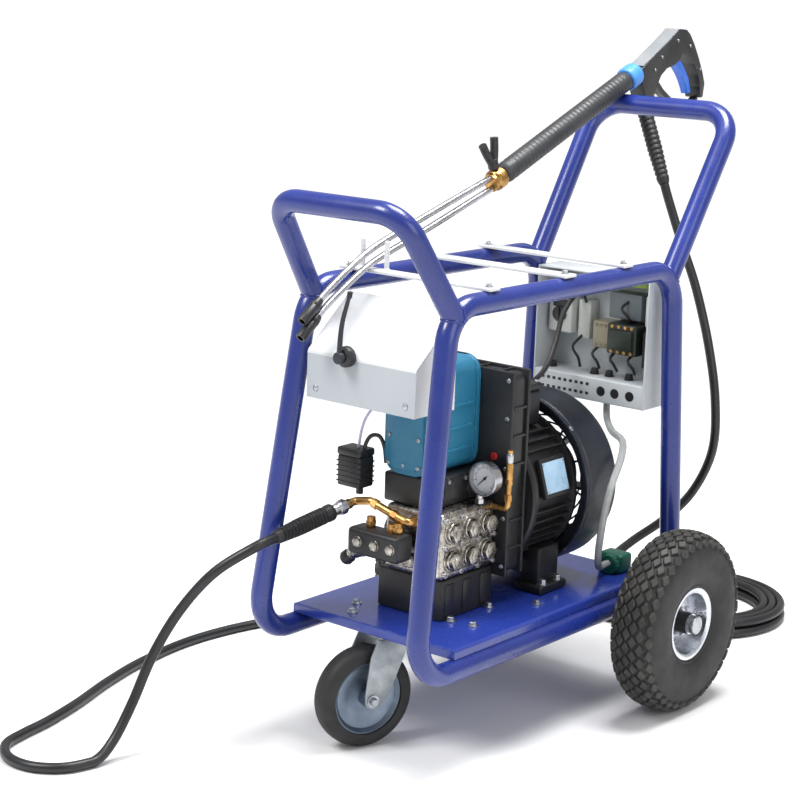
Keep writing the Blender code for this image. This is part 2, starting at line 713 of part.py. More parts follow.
def pump_manifold():
    """Fluid end: a nickel-plated block with two rows of valve caps facing right."""
    low = (MANIFOLD_X[0], PUMP_FRONT - 0.004, MANIFOLD_Z[0])
    high = (MANIFOLD_X[1], PUMP_REAR - 0.001, MANIFOLD_Z[1])
    block = box("pump_manifold", low, high, "nickel", bevel=0.006)
    middle = (low[2] + high[2]) / 2
    for i in range(3):
        y = -0.190 + CAP_PITCH * i
        for row in (CAP_ROW, -CAP_ROW):
            start = (MANIFOLD_X[1] - 0.004, y, middle + row)
            cap = rod("cap", start, (MANIFOLD_X[1] + 0.016, y, middle + row), 0.015, "nickel", steps=6)
            combine(block, cap, "UNION")
    return block


def pump_base():
    """Packing block between pump and deck."""
    low = (-0.060, PUMP_FRONT + 0.002, PLATE_TOP + GAP)
    high = (0.066, PUMP_REAR, MANIFOLD_Z[0] - GAP)
    return box("pump_base", low, high, "black_paint", bevel=0.003)


GAUGE_CENTRE = Vector((0.073, -0.128, 0.410))
GAUGE_R = 0.027


def pressure_gauge():
    """Dial case facing forward, cup-shaped, on a stem that stands on the manifold."""
    profile = [(0, 0.020), (GAUGE_R - 0.003, 0.020), (GAUGE_R, 0.016), (GAUGE_R, 0), (GAUGE_R - 0.003, 0),
               (GAUGE_R - 0.003, 0.008), (0, 0.008)]
    case = lathe("pressure_gauge", profile, GAUGE_CENTRE, (0, 1, 0), "steel", steps=20)
    middle = GAUGE_CENTRE + Vector((0, 0.012, 0))
    foot = Vector((middle.x - 0.012, middle.y, MANIFOLD_Z[1] + GAP))
    stem = rod("stem", foot, middle + Vector((-0.012, 0, -GAUGE_R + 0.008)), 0.007, "steel", steps=8)
    combine(case, stem, "UNION")
    pivot = GAUGE_CENTRE + Vector((0, 0.0077, 0))
    tail = 0.006
    reach = 0.017
    lean = radians(225)
    outline = []
    for along, across in ((-tail, -0.0012), (reach, -0.0005), (reach, 0.0005), (-tail, 0.0012)):
        outline.append((along * cos(lean) - across * sin(lean), along * sin(lean) + across * cos(lean)))
    bm = prism_mesh(outline, pivot, (0, -1, 0), 0.0012)
    add_object("gauge_pointer", bm, "black_plastic", origin=pivot)


def relief_valve():
    """Slim brass valve standing beside the gearbox, piped to the manifold."""
    foot = Vector((0.099, -0.0925, MANIFOLD_Z[1] - 0.0075))
    path = rounded_path([(MANIFOLD_X[1] + GAP, foot.y, foot.z), foot, foot + Vector((0, 0, 0.095))], 0.009, 3)
    valve = tube("relief_valve", path, 0.0065, "brass", sides=10)
    return valve


UNLOADER_WAY = Vector((-0.75, 0, -0.66)).normalized()


def unloader():
    """Pressure regulator at the pump's front, with its spring cone and adjusting knob."""
    block = box("unloader_valve", (-0.075, -0.272, 0.292), (0.026, -0.232, 0.334), "black_plastic", bevel=0.006)
    start = Vector((-0.056, -0.252, 0.306))
    cone = lathe("cone", [(0, 0), (0.018, 0), (0.018, 0.012), (0.010, 0.034), (0, 0.034)], start, UNLOADER_WAY,
                 "nickel", steps=16)
    combine(block, cone, "UNION")
    pivot = start + UNLOADER_WAY * (0.034 + GAP)
    lathe("unloader_knob", [(0, 0), (0.011, 0), (0.012, 0.004), (0.012, 0.014), (0.009, 0.018), (0, 0.018)],
          pivot, UNLOADER_WAY, "black_plastic", steps=12, origin=pivot)


OUTLET = Vector((-0.088, -0.262, 0.362))
OUTLET_WAY = Vector((-0.12, -0.975, -0.19)).normalized()


def brass_link():
    """Pipe from the manifold across to the hose union."""
    start = Vector((0.020, PUMP_FRONT - 0.004 - GAP, 0.351))
    corners = [start, (0.020, -0.239, 0.351), (-0.055, -0.241, 0.372), OUTLET - OUTLET_WAY * 0.022, OUTLET]
    return tube("brass_link", rounded_path(corners, 0.009, 3), 0.008, "brass", sides=12)


def pressure_switch():
    """Small black switch box beside the crankcase, on a stem above the link."""
    case = box("pressure_switch", (-0.128, -0.240, 0.384), (-0.080, -0.202, 0.446), "black_plastic", bevel=0.004)
    stem = rod("stem", (-0.090, -0.226, 0.374), (-0.090, -0.226, 0.390), 0.006, "black_plastic", steps=8)
    return combine(case, stem, "UNION")


# ---------------------------------------------------------------- control box
CONTROL_LOW = Vector((-0.117, 0.262, 0.464))
CONTROL_HIGH = Vector((0.110, 0.330, 0.684))


def control_box():
    """Electrical box between the rear uprights, its cover off towards the front."""
    case = box("control_box", CONTROL_LOW, CONTROL_HIGH, "grey_plastic")
    wall = Vector((0.003, 0.003, 0.003))
    inside = box("inside", CONTROL_LOW + wall - Vector((0, 0.02, 0)) + Vector((0, 0, 0.038)), CONTROL_HIGH - wall,
                 "grey_plastic")
    return combine(case, inside, "DIFFERENCE")


SWITCH_CENTRE = Vector((-0.085, CONTROL_HIGH.y - 0.002, 0.600))


def main_switch(case):
    """Rotary switch whose base stands on the box's back wall."""
    base = box("base", SWITCH_CENTRE + Vector((-0.024, -0.040, -0.032)), SWITCH_CENTRE + Vector((0.024, 0, 0.032)),
               "grey_plastic")
    combine(case, base, "UNION")
    pivot = SWITCH_CENTRE + Vector((0, -0.040 - GAP, 0))
    lathe("main_switch", [(0, 0), (0.014, 0), (0.013, 0.008), (0, 0.008)], pivot, (0, -1, 0), "black_plastic",
          steps=12, origin=pivot)


# ---------------------------------------------------------------- gun and lance
def lance_point(y, z, x=LANCE_X):
    return Vector((x, y, z))


SLEEVE_REAR = lance_point(0.452, 0.993)
SLEEVE_FRONT = lance_point(0.105, 0.851)
SLEEVE_WAY = (SLEEVE_FRONT - SLEEVE_REAR).normalized()
SLEEVE_R = 0.018


def lance_sleeve():
    length = (SLEEVE_FRONT - SLEEVE_REAR).length
    profile = [(0, 0), (SLEEVE_R, 0), (SLEEVE_R, length - 0.006), (SLEEVE_R - 0.004, length), (0, length)]
    return lathe("lance_sleeve", profile, SLEEVE_REAR, SLEEVE_WAY, "rubber", steps=16)


BLOCK_START = SLEEVE_FRONT + SLEEVE_WAY * GAP
BLOCK_END = SLEEVE_FRONT + SLEEVE_WAY * 0.034
SLEEVE_UP = Vector((0, -SLEEVE_WAY.z, SLEEVE_WAY.y)) * -1
TUBE_APART = 0.011


def lance_valve():
    """Brass block that splits the flow between the two lances, with its side knob on top."""
    block = lathe("lance_valve_block", [(0, 0), (0.013, 0), (0.019, 0.006), (0.019, 0.0337), (0, 0.0337)],
                  BLOCK_START, SLEEVE_WAY, "brass", steps=12)
    middle = BLOCK_START + SLEEVE_WAY * 0.018
    pivot = middle + SLEEVE_UP * 0.0193
    knob = rod("lance_valve_knob", pivot, pivot + SLEEVE_UP * 0.018, 0.009, "black_plastic", steps=12,
               origin=pivot)
    for side in (1, -1):
        start = pivot + SLEEVE_UP * 0.016 + SLEEVE_WAY * (side * 0.004)
        wing = rod("wing", start, start + SLEEVE_UP * 0.032 + SLEEVE_WAY * (side * 0.012), 0.007,
                   "black_plastic", steps=8, origin=pivot)
        combine(knob, wing, "UNION")
    return block, knob


LANCE_ROUTE = [(-0.100, 0.7845), (-0.212, 0.7500), (-0.268, 0.7235), (-0.318, 0.6945), (-0.345, 0.6750)]


def lance_tube(name, apart, guard_shift):
    """One thin steel lance with the nozzle guard at its end."""
    start = BLOCK_END + SLEEVE_WAY * 0.0008 + SLEEVE_UP * apart * 0.8
    corners = [start] + [lance_point(y, z) + Vector((0, 0, apart)) for y, z in LANCE_ROUTE]
    path = smooth_route(corners, 0.045)
    lance = tube(name, path, 0.0055, "steel", sides=8)
    way = (path[-1] - path[-2]).normalized()
    start = path[-1] - way * 0.012 + way * guard_shift
    profile = [(0, 0), (0.0068, 0), (0.0085, 0.012), (0.0085, 0.048), (0, 0.048)]
    guard = lathe("guard", profile, start, way, "black_plastic", steps=10)
    return combine(lance, guard, "UNION")


GUN_BASE = SLEEVE_REAR - SLEEVE_WAY * GAP


GUN_SHELL = [(-0.006, 0.006), (0.028, 0.0235), (0.077, 0.0505), (0.117, 0.0765), (0.138, 0.0750),
             (0.151, 0.0670), (0.168, 0.0480), (0.185, 0.0240), (0.200, 0.0000), (0.210, -0.0220),
             (0.209, -0.0480), (0.195, -0.0480), (0.195, -0.0280), (0.187, -0.0060), (0.171, 0.0140),
             (0.151, 0.0300), (0.131, 0.0340), (0.118, 0.0200), (0.100, 0.0120), (0.080, 0.0080),
             (0.062, -0.0040), (0.052, -0.0200), (0.042, -0.0450), (0.018, -0.0450), (0.004, -0.0180)]
GUN_GUARD = [(0.050, -0.0120), (0.060, -0.0220), (0.080, -0.0380), (0.110, -0.0540), (0.150, -0.0650),
             (0.190, -0.0650), (0.207, -0.0500), (0.200, -0.0460), (0.188, -0.0565), (0.150, -0.0565),
             (0.114, -0.0460), (0.086, -0.0300), (0.066, -0.0140), (0.058, -0.0040)]


def gun_body():
    """Collar, valve body and the D-shaped rear handle in one moulding."""
    x_low, x_high = LANCE_X - 0.016, LANCE_X + 0.016
    collar_end = GUN_BASE - SLEEVE_WAY * 0.030
    body = lathe("gun_body", [(0, 0), (0.021, 0), (0.021, 0.030), (0, 0.030)], GUN_BASE, -SLEEVE_WAY,
                 "blue_plastic", steps=14)
    y, z = collar_end.y, collar_end.z
    outline = [(y + along, z + height) for along, height in GUN_SHELL]
    casting = add_object("casting", slab_mesh(outline, x_low, x_high), "black_plastic")
    slot = add_object("slot", slab_mesh(trigger_slot_outline(), LANCE_X - 0.0095, LANCE_X + 0.0095),
                      "black_plastic")
    bow = [(y + along, z + height) for along, height in GUN_GUARD]
    guard = add_object("guard", slab_mesh(bow, LANCE_X - 0.007, LANCE_X + 0.007), "black_plastic")
    combine(body, casting, "UNION")
    combine(body, guard, "UNION")
    return combine(body, slot, "DIFFERENCE")


def gun_pivot():
    collar_end = GUN_BASE - SLEEVE_WAY * 0.030
    return Vector((LANCE_X, collar_end.y + 0.112, collar_end.z + 0.030))


TRIGGER_SWING = radians(10)
TRIGGER_TOP = [(0.000, 0.004), (0.014, -0.003), (0.044, -0.028), (0.062, -0.056), (0.066, -0.068)]
TRIGGER_BOTTOM = [(0.056, -0.070), (0.049, -0.056), (0.032, -0.035), (0.004, -0.012), (-0.004, -0.004)]


def turned_about_pivot(points, turn):
    pivot = gun_pivot()
    return [(pivot.y + u * cos(turn) - v * sin(turn), pivot.z + u * sin(turn) + v * cos(turn)) for u, v in points]


def trigger_slot_outline():
    """The space that the trigger sweeps, with a little room round it."""
    room = [(u + 0.001, v + 0.002) for u, v in TRIGGER_TOP]
    under = [(u - 0.001, v - 0.002) for u, v in TRIGGER_BOTTOM]
    return turned_about_pivot(room, TRIGGER_SWING) + turned_about_pivot(under, 0)


def gun_trigger():
    """Lever under the handle, hinged at its front upper end."""
    outline = turned_about_pivot(TRIGGER_TOP + TRIGGER_BOTTOM, 0)
    return add_object("gun_trigger", slab_mesh(outline, LANCE_X - 0.008, LANCE_X + 0.008), "blue_plastic",
                      origin=gun_pivot())


# ---------------------------------------------------------------- hose and cables
def outlet_swivel():
    """Steel hose union on the link's end."""
    profile = [(0, GAP), (0.012, GAP), (0.012, 0.014), (0.010, 0.016), (0.010, SWIVEL_LENGTH), (0, SWIVEL_LENGTH)]
    return lathe("outlet_swivel", profile, OUTLET, OUTLET_WAY, "steel", steps=12)


def bend_sleeve(name, start, way, length):
    """Tapered rubber sleeve that stops the hose from kinking."""
    profile = [(0, GAP), (0.0135, GAP), (0.0135, length * 0.6), (0.0105, length), (0, length)]
    return lathe(name, profile, start, way, "rubber", steps=12)


SWIVEL_LENGTH = 0.028
OUTLET_SLEEVE_START = OUTLET + OUTLET_WAY * SWIVEL_LENGTH
OUTLET_SLEEVE = 0.115
GUN_SLEEVE = 0.150
GUN_PORT = Vector((LANCE_X, GUN_BASE.y + 0.058, GUN_BASE.z - 0.0405))
GUN_PORT_WAY = Vector((0.40, -0.05, -0.915)).normalized()

COIL_CENTRE = Vector((0.005, 0.650, 0))
COIL_R = 0.144                   # middle of the turns
COIL_WIDE = 3                    # turns side by side
COIL_HIGH = 2                    # layers
FLOOR_Z = HOSE_D / 2 + FLOOR_GAP


def hose_route_front():
    """From the outlet sleeve to the floor, round a narrow loop and back past the left side to the coil."""
    start = OUTLET_SLEEVE_START + OUTLET_WAY * (OUTLET_SLEEVE + GAP)
    hanging = [start, start + OUTLET_WAY * 0.040, (-0.150, -0.486, 0.288), (-0.198, -0.510, 0.222),
               (-0.228, -0.536, 0.150), (-0.240, -0.564, 0.082), (-0.242, -0.602, 0.030)]
    lying = [(-0.2420, -0.6400), (-0.2573, -0.6870), (-0.2973, -0.7161), (-0.3467, -0.7161),
             (-0.3867, -0.6870), (-0.4020, -0.6400), (-0.4140, -0.5800), (-0.4400, -0.4950),
             (-0.476, -0.400), (-0.508, -0.290), (-0.526, -0.160), (-0.512, -0.030),
             (-0.466, 0.100), (-0.412, 0.210), (-0.346, 0.312), (-0.262, 0.398), (-0.168, 0.452),
             (-0.080, 0.471), (-0.010, 0.4725)]
    return hanging + [(x, y, FLOOR_Z) for x, y in lying]


def hose_route_rear():
    """From the gun's sleeve down in a wide bow behind the frame and onto the coil."""
    start = GUN_PORT + GUN_PORT_WAY * (GUN_SLEEVE + GAP)
    top = COIL_HIGH * HOSE_D + HOSE_D / 2 + 0.0015
    return [start, start + GUN_PORT_WAY * 0.030, (0.022, 0.497, 0.715), (0.060, 0.492, 0.640),
            (0.096, 0.486, 0.545), (0.119, 0.482, 0.450), (0.120, 0.482, 0.362), (0.086, 0.484, 0.282),
            (0.030, 0.488, 0.218), (-0.040, 0.495, 0.160), (-0.098, 0.512, 0.108), (-0.130, 0.552, 0.068),
            (-0.139, 0.600, top + 0.004), (-0.139, 0.645, top)]


def hose_coil():
    """Outer shape of the turns that lie wound behind the machine."""
    half = COIL_WIDE * HOSE_D / 2
    height = COIL_HIGH * HOSE_D
    lip = HOSE_D * 0.35
    profile = [(COIL_R - half, lip), (COIL_R - half + lip, 0), (COIL_R + half - lip, 0), (COIL_R + half, lip),
               (COIL_R + half, height - lip), (COIL_R + half - lip, height), (COIL_R - half + lip, height),
               (COIL_R - half, height - lip)]
    return lathe("hose_coil", profile, COIL_CENTRE + Vector((0, 0, GAP)), (0, 0, 1), "rubber", steps=32,
                 closed=True)


INLET_LOW = Vector((0.082, 0.184, PLATE_TOP + GAP))
INLET_HIGH = Vector((0.132, 0.230, PLATE_TOP + 0.036))


def water_inlet():
    """Green inlet fitting on the deck beside the right wheel."""
    return box("water_inlet", INLET_LOW, INLET_HIGH, "green_plastic", bevel=0.004)


def control_conduit():
    """Grey conduit from under the control box round the fan cowl to the inlet fitting."""
    start = Vector((0.020, 0.290, CONTROL_LOW.z - GAP))
    end = Vector((0.109, INLET_LOW.y - GAP, 0.216))
    route = [start, start - Vector((0, 0, 0.012)), (0.030, 0.278, 0.434), (0.064, 0.244, 0.424),
             (0.110, 0.206, 0.422), (0.138, 0.160, 0.404), (0.148, 0.118, 0.362), (0.146, 0.104, 0.306),
             (0.132, 0.118, 0.248), (0.114, 0.150, 0.218), end - Vector((0, 0.012, 0)), end]
    return cord("control_conduit", route, 0.012, "grey_plastic", spacing=0.022)


def motor_cable():
    """Black cable from the control box to the motor's wiring box."""
    start = Vector((-0.045, CONTROL_HIGH.y - 0.003 - GAP, 0.655))
    end = Vector((-0.010, TERMINAL_REAR + GAP, 0.515))
    route = [start, start - Vector((0, 0.010, 0)), (-0.048, 0.296, 0.650), (-0.052, 0.252, 0.612),
             (-0.046, 0.222, 0.560), (-0.030, 0.172, 0.526), (-0.014, 0.112, 0.515),
             end + Vector((0, 0.012, 0)), end]
    return cord("motor_cable", route, 0.009, "rubber", spacing=0.020)


CORD_NAMES = ("hose_front", "hose_coil", "hose_rear")


def centre_on_origin():
    """Move everything so that the object without its hose stands centred over the origin."""
    bpy.context.view_layer.update()
    reach = []
    for obj in bpy.data.objects:
        if obj.name not in CORD_NAMES:
            reach += [(obj.matrix_world @ Vector(corner)).xy for corner in obj.bound_box]
    middle_x = (min(p.x for p in reach) + max(p.x for p in reach)) / 2
    middle_y = (min(p.y for p in reach) + max(p.y for p in reach)) / 2
    for obj in bpy.data.objects:
        obj.location -= Vector((middle_x, middle_y, 0))


def main():
    clear_scene()
    ring_frame("right_ring_frame", 1)
    ring_frame("left_ring_frame", -1)
    handle("front_handle", FRONT_HEAD_Y, FRONT_BAR, 0.048)
    handle("rear_handle", REAR_HEAD_Y, REAR_BAR, 0.055)
    base_plate()
    front_crossbar()
    crossbar("crossbar_middle", -0.020, 0.030)
    crossbar("crossbar_rear", 0.140, 0.026)
    front_console()
    bypass_valve()

    rear_axle()
    axle_bracket()
    rear_wheel("right", 1)
    rear_wheel("left", -1)
    caster_plate()
    caster_fork()
    caster_axle()
    caster_wheel()

    motor_casing()
    fan_cowl()
    motor_rotor()
    cooling_fan()
    terminal_box()
    gear_housing()
    gear("motor_pinion", PINION_TEETH, MOTOR_AXIS, -0.069, 0.024, PINION_TURN)
    gear("crank_gear", CRANK_TEETH, CRANK_AXIS, -0.068, 0.021, CRANK_TURN)

    pump_crankcase()
    pump_crankshaft()
    plunger_housing()
    pump_manifold()
    pump_base()
    pressure_gauge()
    relief_valve()
    unloader()
    brass_link()
    pressure_switch()

    main_switch(control_box())
    control_conduit()
    motor_cable()
    water_inlet()

    lance_sleeve()
    lance_valve()
    lance_tube("upper_lance", TUBE_APART, 0)
    lance_tube("lower_lance", -TUBE_APART, 0.004)
    gun_body()
    gun_trigger()
    bend_sleeve("gun_hose_sleeve", GUN_PORT, GUN_PORT_WAY, GUN_SLEEVE)

    outlet_swivel()
    bend_sleeve("outlet_hose_sleeve", OUTLET_SLEEVE_START, OUTLET_WAY, OUTLET_SLEEVE)
    cord("hose_front", hose_route_front(), HOSE_D, "rubber", spacing=0.045)
    hose_coil()
    cord("hose_rear", hose_route_rear(), HOSE_D, "rubber", spacing=0.045)
    centre_on_origin()


main()
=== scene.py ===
"""Pressure washer on a two-handled trolley: its looks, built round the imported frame. Metres, +Z up."""
import random
from math import ceil, cos, pi, radians, sin

import bmesh
import bpy
from mathutils import Matrix, Vector


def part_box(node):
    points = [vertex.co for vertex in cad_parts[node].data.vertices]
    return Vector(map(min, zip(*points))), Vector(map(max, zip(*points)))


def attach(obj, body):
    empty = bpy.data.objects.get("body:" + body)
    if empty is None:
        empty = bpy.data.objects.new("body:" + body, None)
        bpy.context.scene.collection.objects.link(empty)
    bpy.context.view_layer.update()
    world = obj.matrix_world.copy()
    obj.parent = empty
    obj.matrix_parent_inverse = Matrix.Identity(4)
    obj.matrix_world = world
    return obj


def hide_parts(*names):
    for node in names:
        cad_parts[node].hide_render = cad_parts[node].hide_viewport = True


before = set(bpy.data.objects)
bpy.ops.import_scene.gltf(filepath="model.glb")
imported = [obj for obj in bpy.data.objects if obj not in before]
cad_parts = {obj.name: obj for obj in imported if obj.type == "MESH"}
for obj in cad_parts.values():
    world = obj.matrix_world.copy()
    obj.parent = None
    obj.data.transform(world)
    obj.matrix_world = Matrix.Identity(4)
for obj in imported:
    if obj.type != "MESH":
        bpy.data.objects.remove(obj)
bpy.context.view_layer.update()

random.seed(11)


def middle(node):
    low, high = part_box(node)
    return (low + high) / 2


AXLE = middle("rear_axle")
ZERO_Y = AXLE.y - 0.184          # the deck's own zero line, from which the layout is measured


def at(x, y, z):
    """A point given from the deck's zero line."""
    return Vector((x, y + ZERO_Y, z))


# ---------------------------------------------------------------- camera
def make_camera():
    azimuth = radians(39.2)
    elevation = radians(12.5)
    roll = radians(1.9)
    forward = Vector((-sin(azimuth) * cos(elevation), cos(azimuth) * cos(elevation), -sin(elevation)))
    level = Vector((cos(azimuth), sin(azimuth), 0))
    upright = level.cross(forward)
    right = level * cos(roll) + upright * sin(roll)
    up = upright * cos(roll) - level * sin(roll)
    camera = bpy.data.objects.new("camera", bpy.data.cameras.new("camera"))
    camera.data.lens = 91.4
    camera.data.clip_start = 0.05
    turn = Matrix((right, up, -forward)).transposed().to_4x4()
    camera.matrix_world = Matrix.Translation(at(1.887, -2.558, 1.203)) @ turn
    bpy.context.scene.collection.objects.link(camera)
    bpy.context.scene.camera = camera


make_camera()


# ---------------------------------------------------------------- materials
MATERIALS = {}


class Nodes:
    """One material's node tree; the slot argument, the kind of finish, is not used."""

    def __init__(self, name, slot):
        self.material = bpy.data.materials.new(name)
        self.material.use_nodes = True
        self.tree = self.material.node_tree
        self.shader = self.tree.nodes["Principled BSDF"]
        self.place = self.tree.nodes.new("ShaderNodeTexCoord").outputs["Object"]
        MATERIALS[name] = self.material

    def set(self, node, **inputs):
        """Give each named input a value or the output of another node."""
        for name, value in inputs.items():
            socket = node.inputs[name.replace("_", " ")]
            if isinstance(value, bpy.types.NodeSocket):
                self.tree.links.new(value, socket)
            else:
                socket.default_value = value

    def node(self, kind, setting=None, **inputs):
        """Add a node; the setting is one (attribute, value) pair."""
        made = self.tree.nodes.new("ShaderNode" + kind)
        if setting:
            setattr(made, *setting)
        self.set(made, **inputs)
        return made

    def noise(self, scale, detail=4.0):
        texture = self.node("TexNoise", Scale=scale, Detail=detail, Roughness=0.6, Vector=self.place)
        return texture.outputs["Fac"]

    def ramp(self, factor, low, high, stops=(0.35, 0.65)):
        node = self.node("ValToRGB", Fac=factor)
        for element, stop, colour in zip(node.color_ramp.elements, stops, (low, high)):
            element.position = stop
            element.color = (*colour, 1)
        return node.outputs["Color"]

    def between(self, factor, low, high, start=0.3, end=0.7):
        return self.node("MapRange", From_Min=start, From_Max=end, To_Min=low, To_Max=high,
                         Value=factor).outputs["Result"]

    def mix(self, factor, a, b):
        return self.node("Mix", ("data_type", "RGBA"), Factor=factor, A=a, B=b).outputs["Result"]

    def combine(self, kind, operation, first, second):
        made = self.node(kind, ("operation", operation))
        self.tree.links.new(first, made.inputs[0])
        self.tree.links.new(second, made.inputs[1])
        return made.outputs["Value"]

    def surface(self, colour, roughness, height, strength, distance):
        """Join colour, roughness and a bump map to the material's shader."""
        bump = self.node("Bump", Strength=strength, Distance=distance, Height=height)
        self.set(self.shader, Base_Color=colour, Roughness=roughness, Normal=bump.outputs["Normal"])

    def edge_wear(self, colour, worn, width=0.0016):
        """Lighter colour where rounded-off and true normals differ, broken up by noise."""
        rounded = self.node("Bevel", ("samples", 4), Radius=width).outputs["Normal"]
        true_normal = self.node("NewGeometry").outputs["Normal"]
        agree = self.combine("VectorMath", "DOT_PRODUCT", rounded, true_normal)
        edge = self.between(agree, 1.0, 0.0, 0.88, 0.985)
        broken = self.between(self.noise(110), 0.0, 1.0, 0.48, 0.62)
        chipped = self.combine("Math", "MULTIPLY", edge, broken)
        worn_colour = self.node("RGB").outputs[0]
        worn_colour.default_value = (*worn, 1)
        return self.mix(chipped, colour, worn_colour)


def paint(name, slot, base, other, rough, grain=600, bump=0.08, coat=0.0, blotch=9, worn=None):
    """Painted metal: faint colour drift, orange peel, uneven gloss and chipped edges."""
    n = Nodes(name, slot)
    colour = n.ramp(n.noise(blotch, 6), base, other)
    if worn:
        colour = n.edge_wear(colour, worn)
    n.set(n.shader, Coat_Weight=coat, Coat_Roughness=0.12)
    n.surface(colour, n.between(n.noise(30, 5), rough * 0.8, rough * 1.25), n.noise(grain, 2), bump, 0.001)


def metal(name, slot, base, dark, rough, blotch=40, grain=300, bump=0.15):
    """Bare or plated metal: tarnish patches and cast grain."""
    n = Nodes(name, slot)
    n.set(n.shader, Metallic=1.0)
    colour = n.ramp(n.noise(blotch, 6), dark, base, (0.3, 0.65))
    roughness = n.between(n.noise(blotch * 2.2, 6), rough * 1.5, rough * 0.7)
    n.surface(colour, roughness, n.noise(grain, 3), bump, 0.0006)


def moulded(name, slot, base, other, rough, grain=1400, bump=0.12, dust=None):
    """Plastic or rubber: fine moulded grain, scuffs and some dust."""
    n = Nodes(name, slot)
    colour = n.ramp(n.noise(14, 6), base, other)
    if dust:
        patches = n.between(n.noise(45, 8), 0.0, 0.55, 0.48, 0.78)
        colour = n.mix(patches, colour, n.ramp(n.noise(200), dust, [value * 1.3 for value in dust]))
    roughness = n.between(n.noise(25, 6), rough * 0.85, rough * 1.15)
    cells = n.node("TexVoronoi", Scale=grain, Vector=n.place).outputs["Distance"]
    n.surface(colour, roughness, cells, bump, 0.0004)
    return n


def glow_far_away(n, near=1.2, far=5.0, strength=0.62):
    """The floor brightens away from the object, so that it runs into the white background."""
    distance = n.node("VectorMath", ("operation", "LENGTH"), Vector=n.place).outputs["Value"]
    fade = n.node("MapRange", ("interpolation_type", "SMOOTHSTEP"), From_Min=near, From_Max=far,
                  To_Max=strength,
                  Value=distance)
    n.set(n.shader, Emission_Color=(1, 1, 1, 1), Emission_Strength=fade.outputs["Result"])


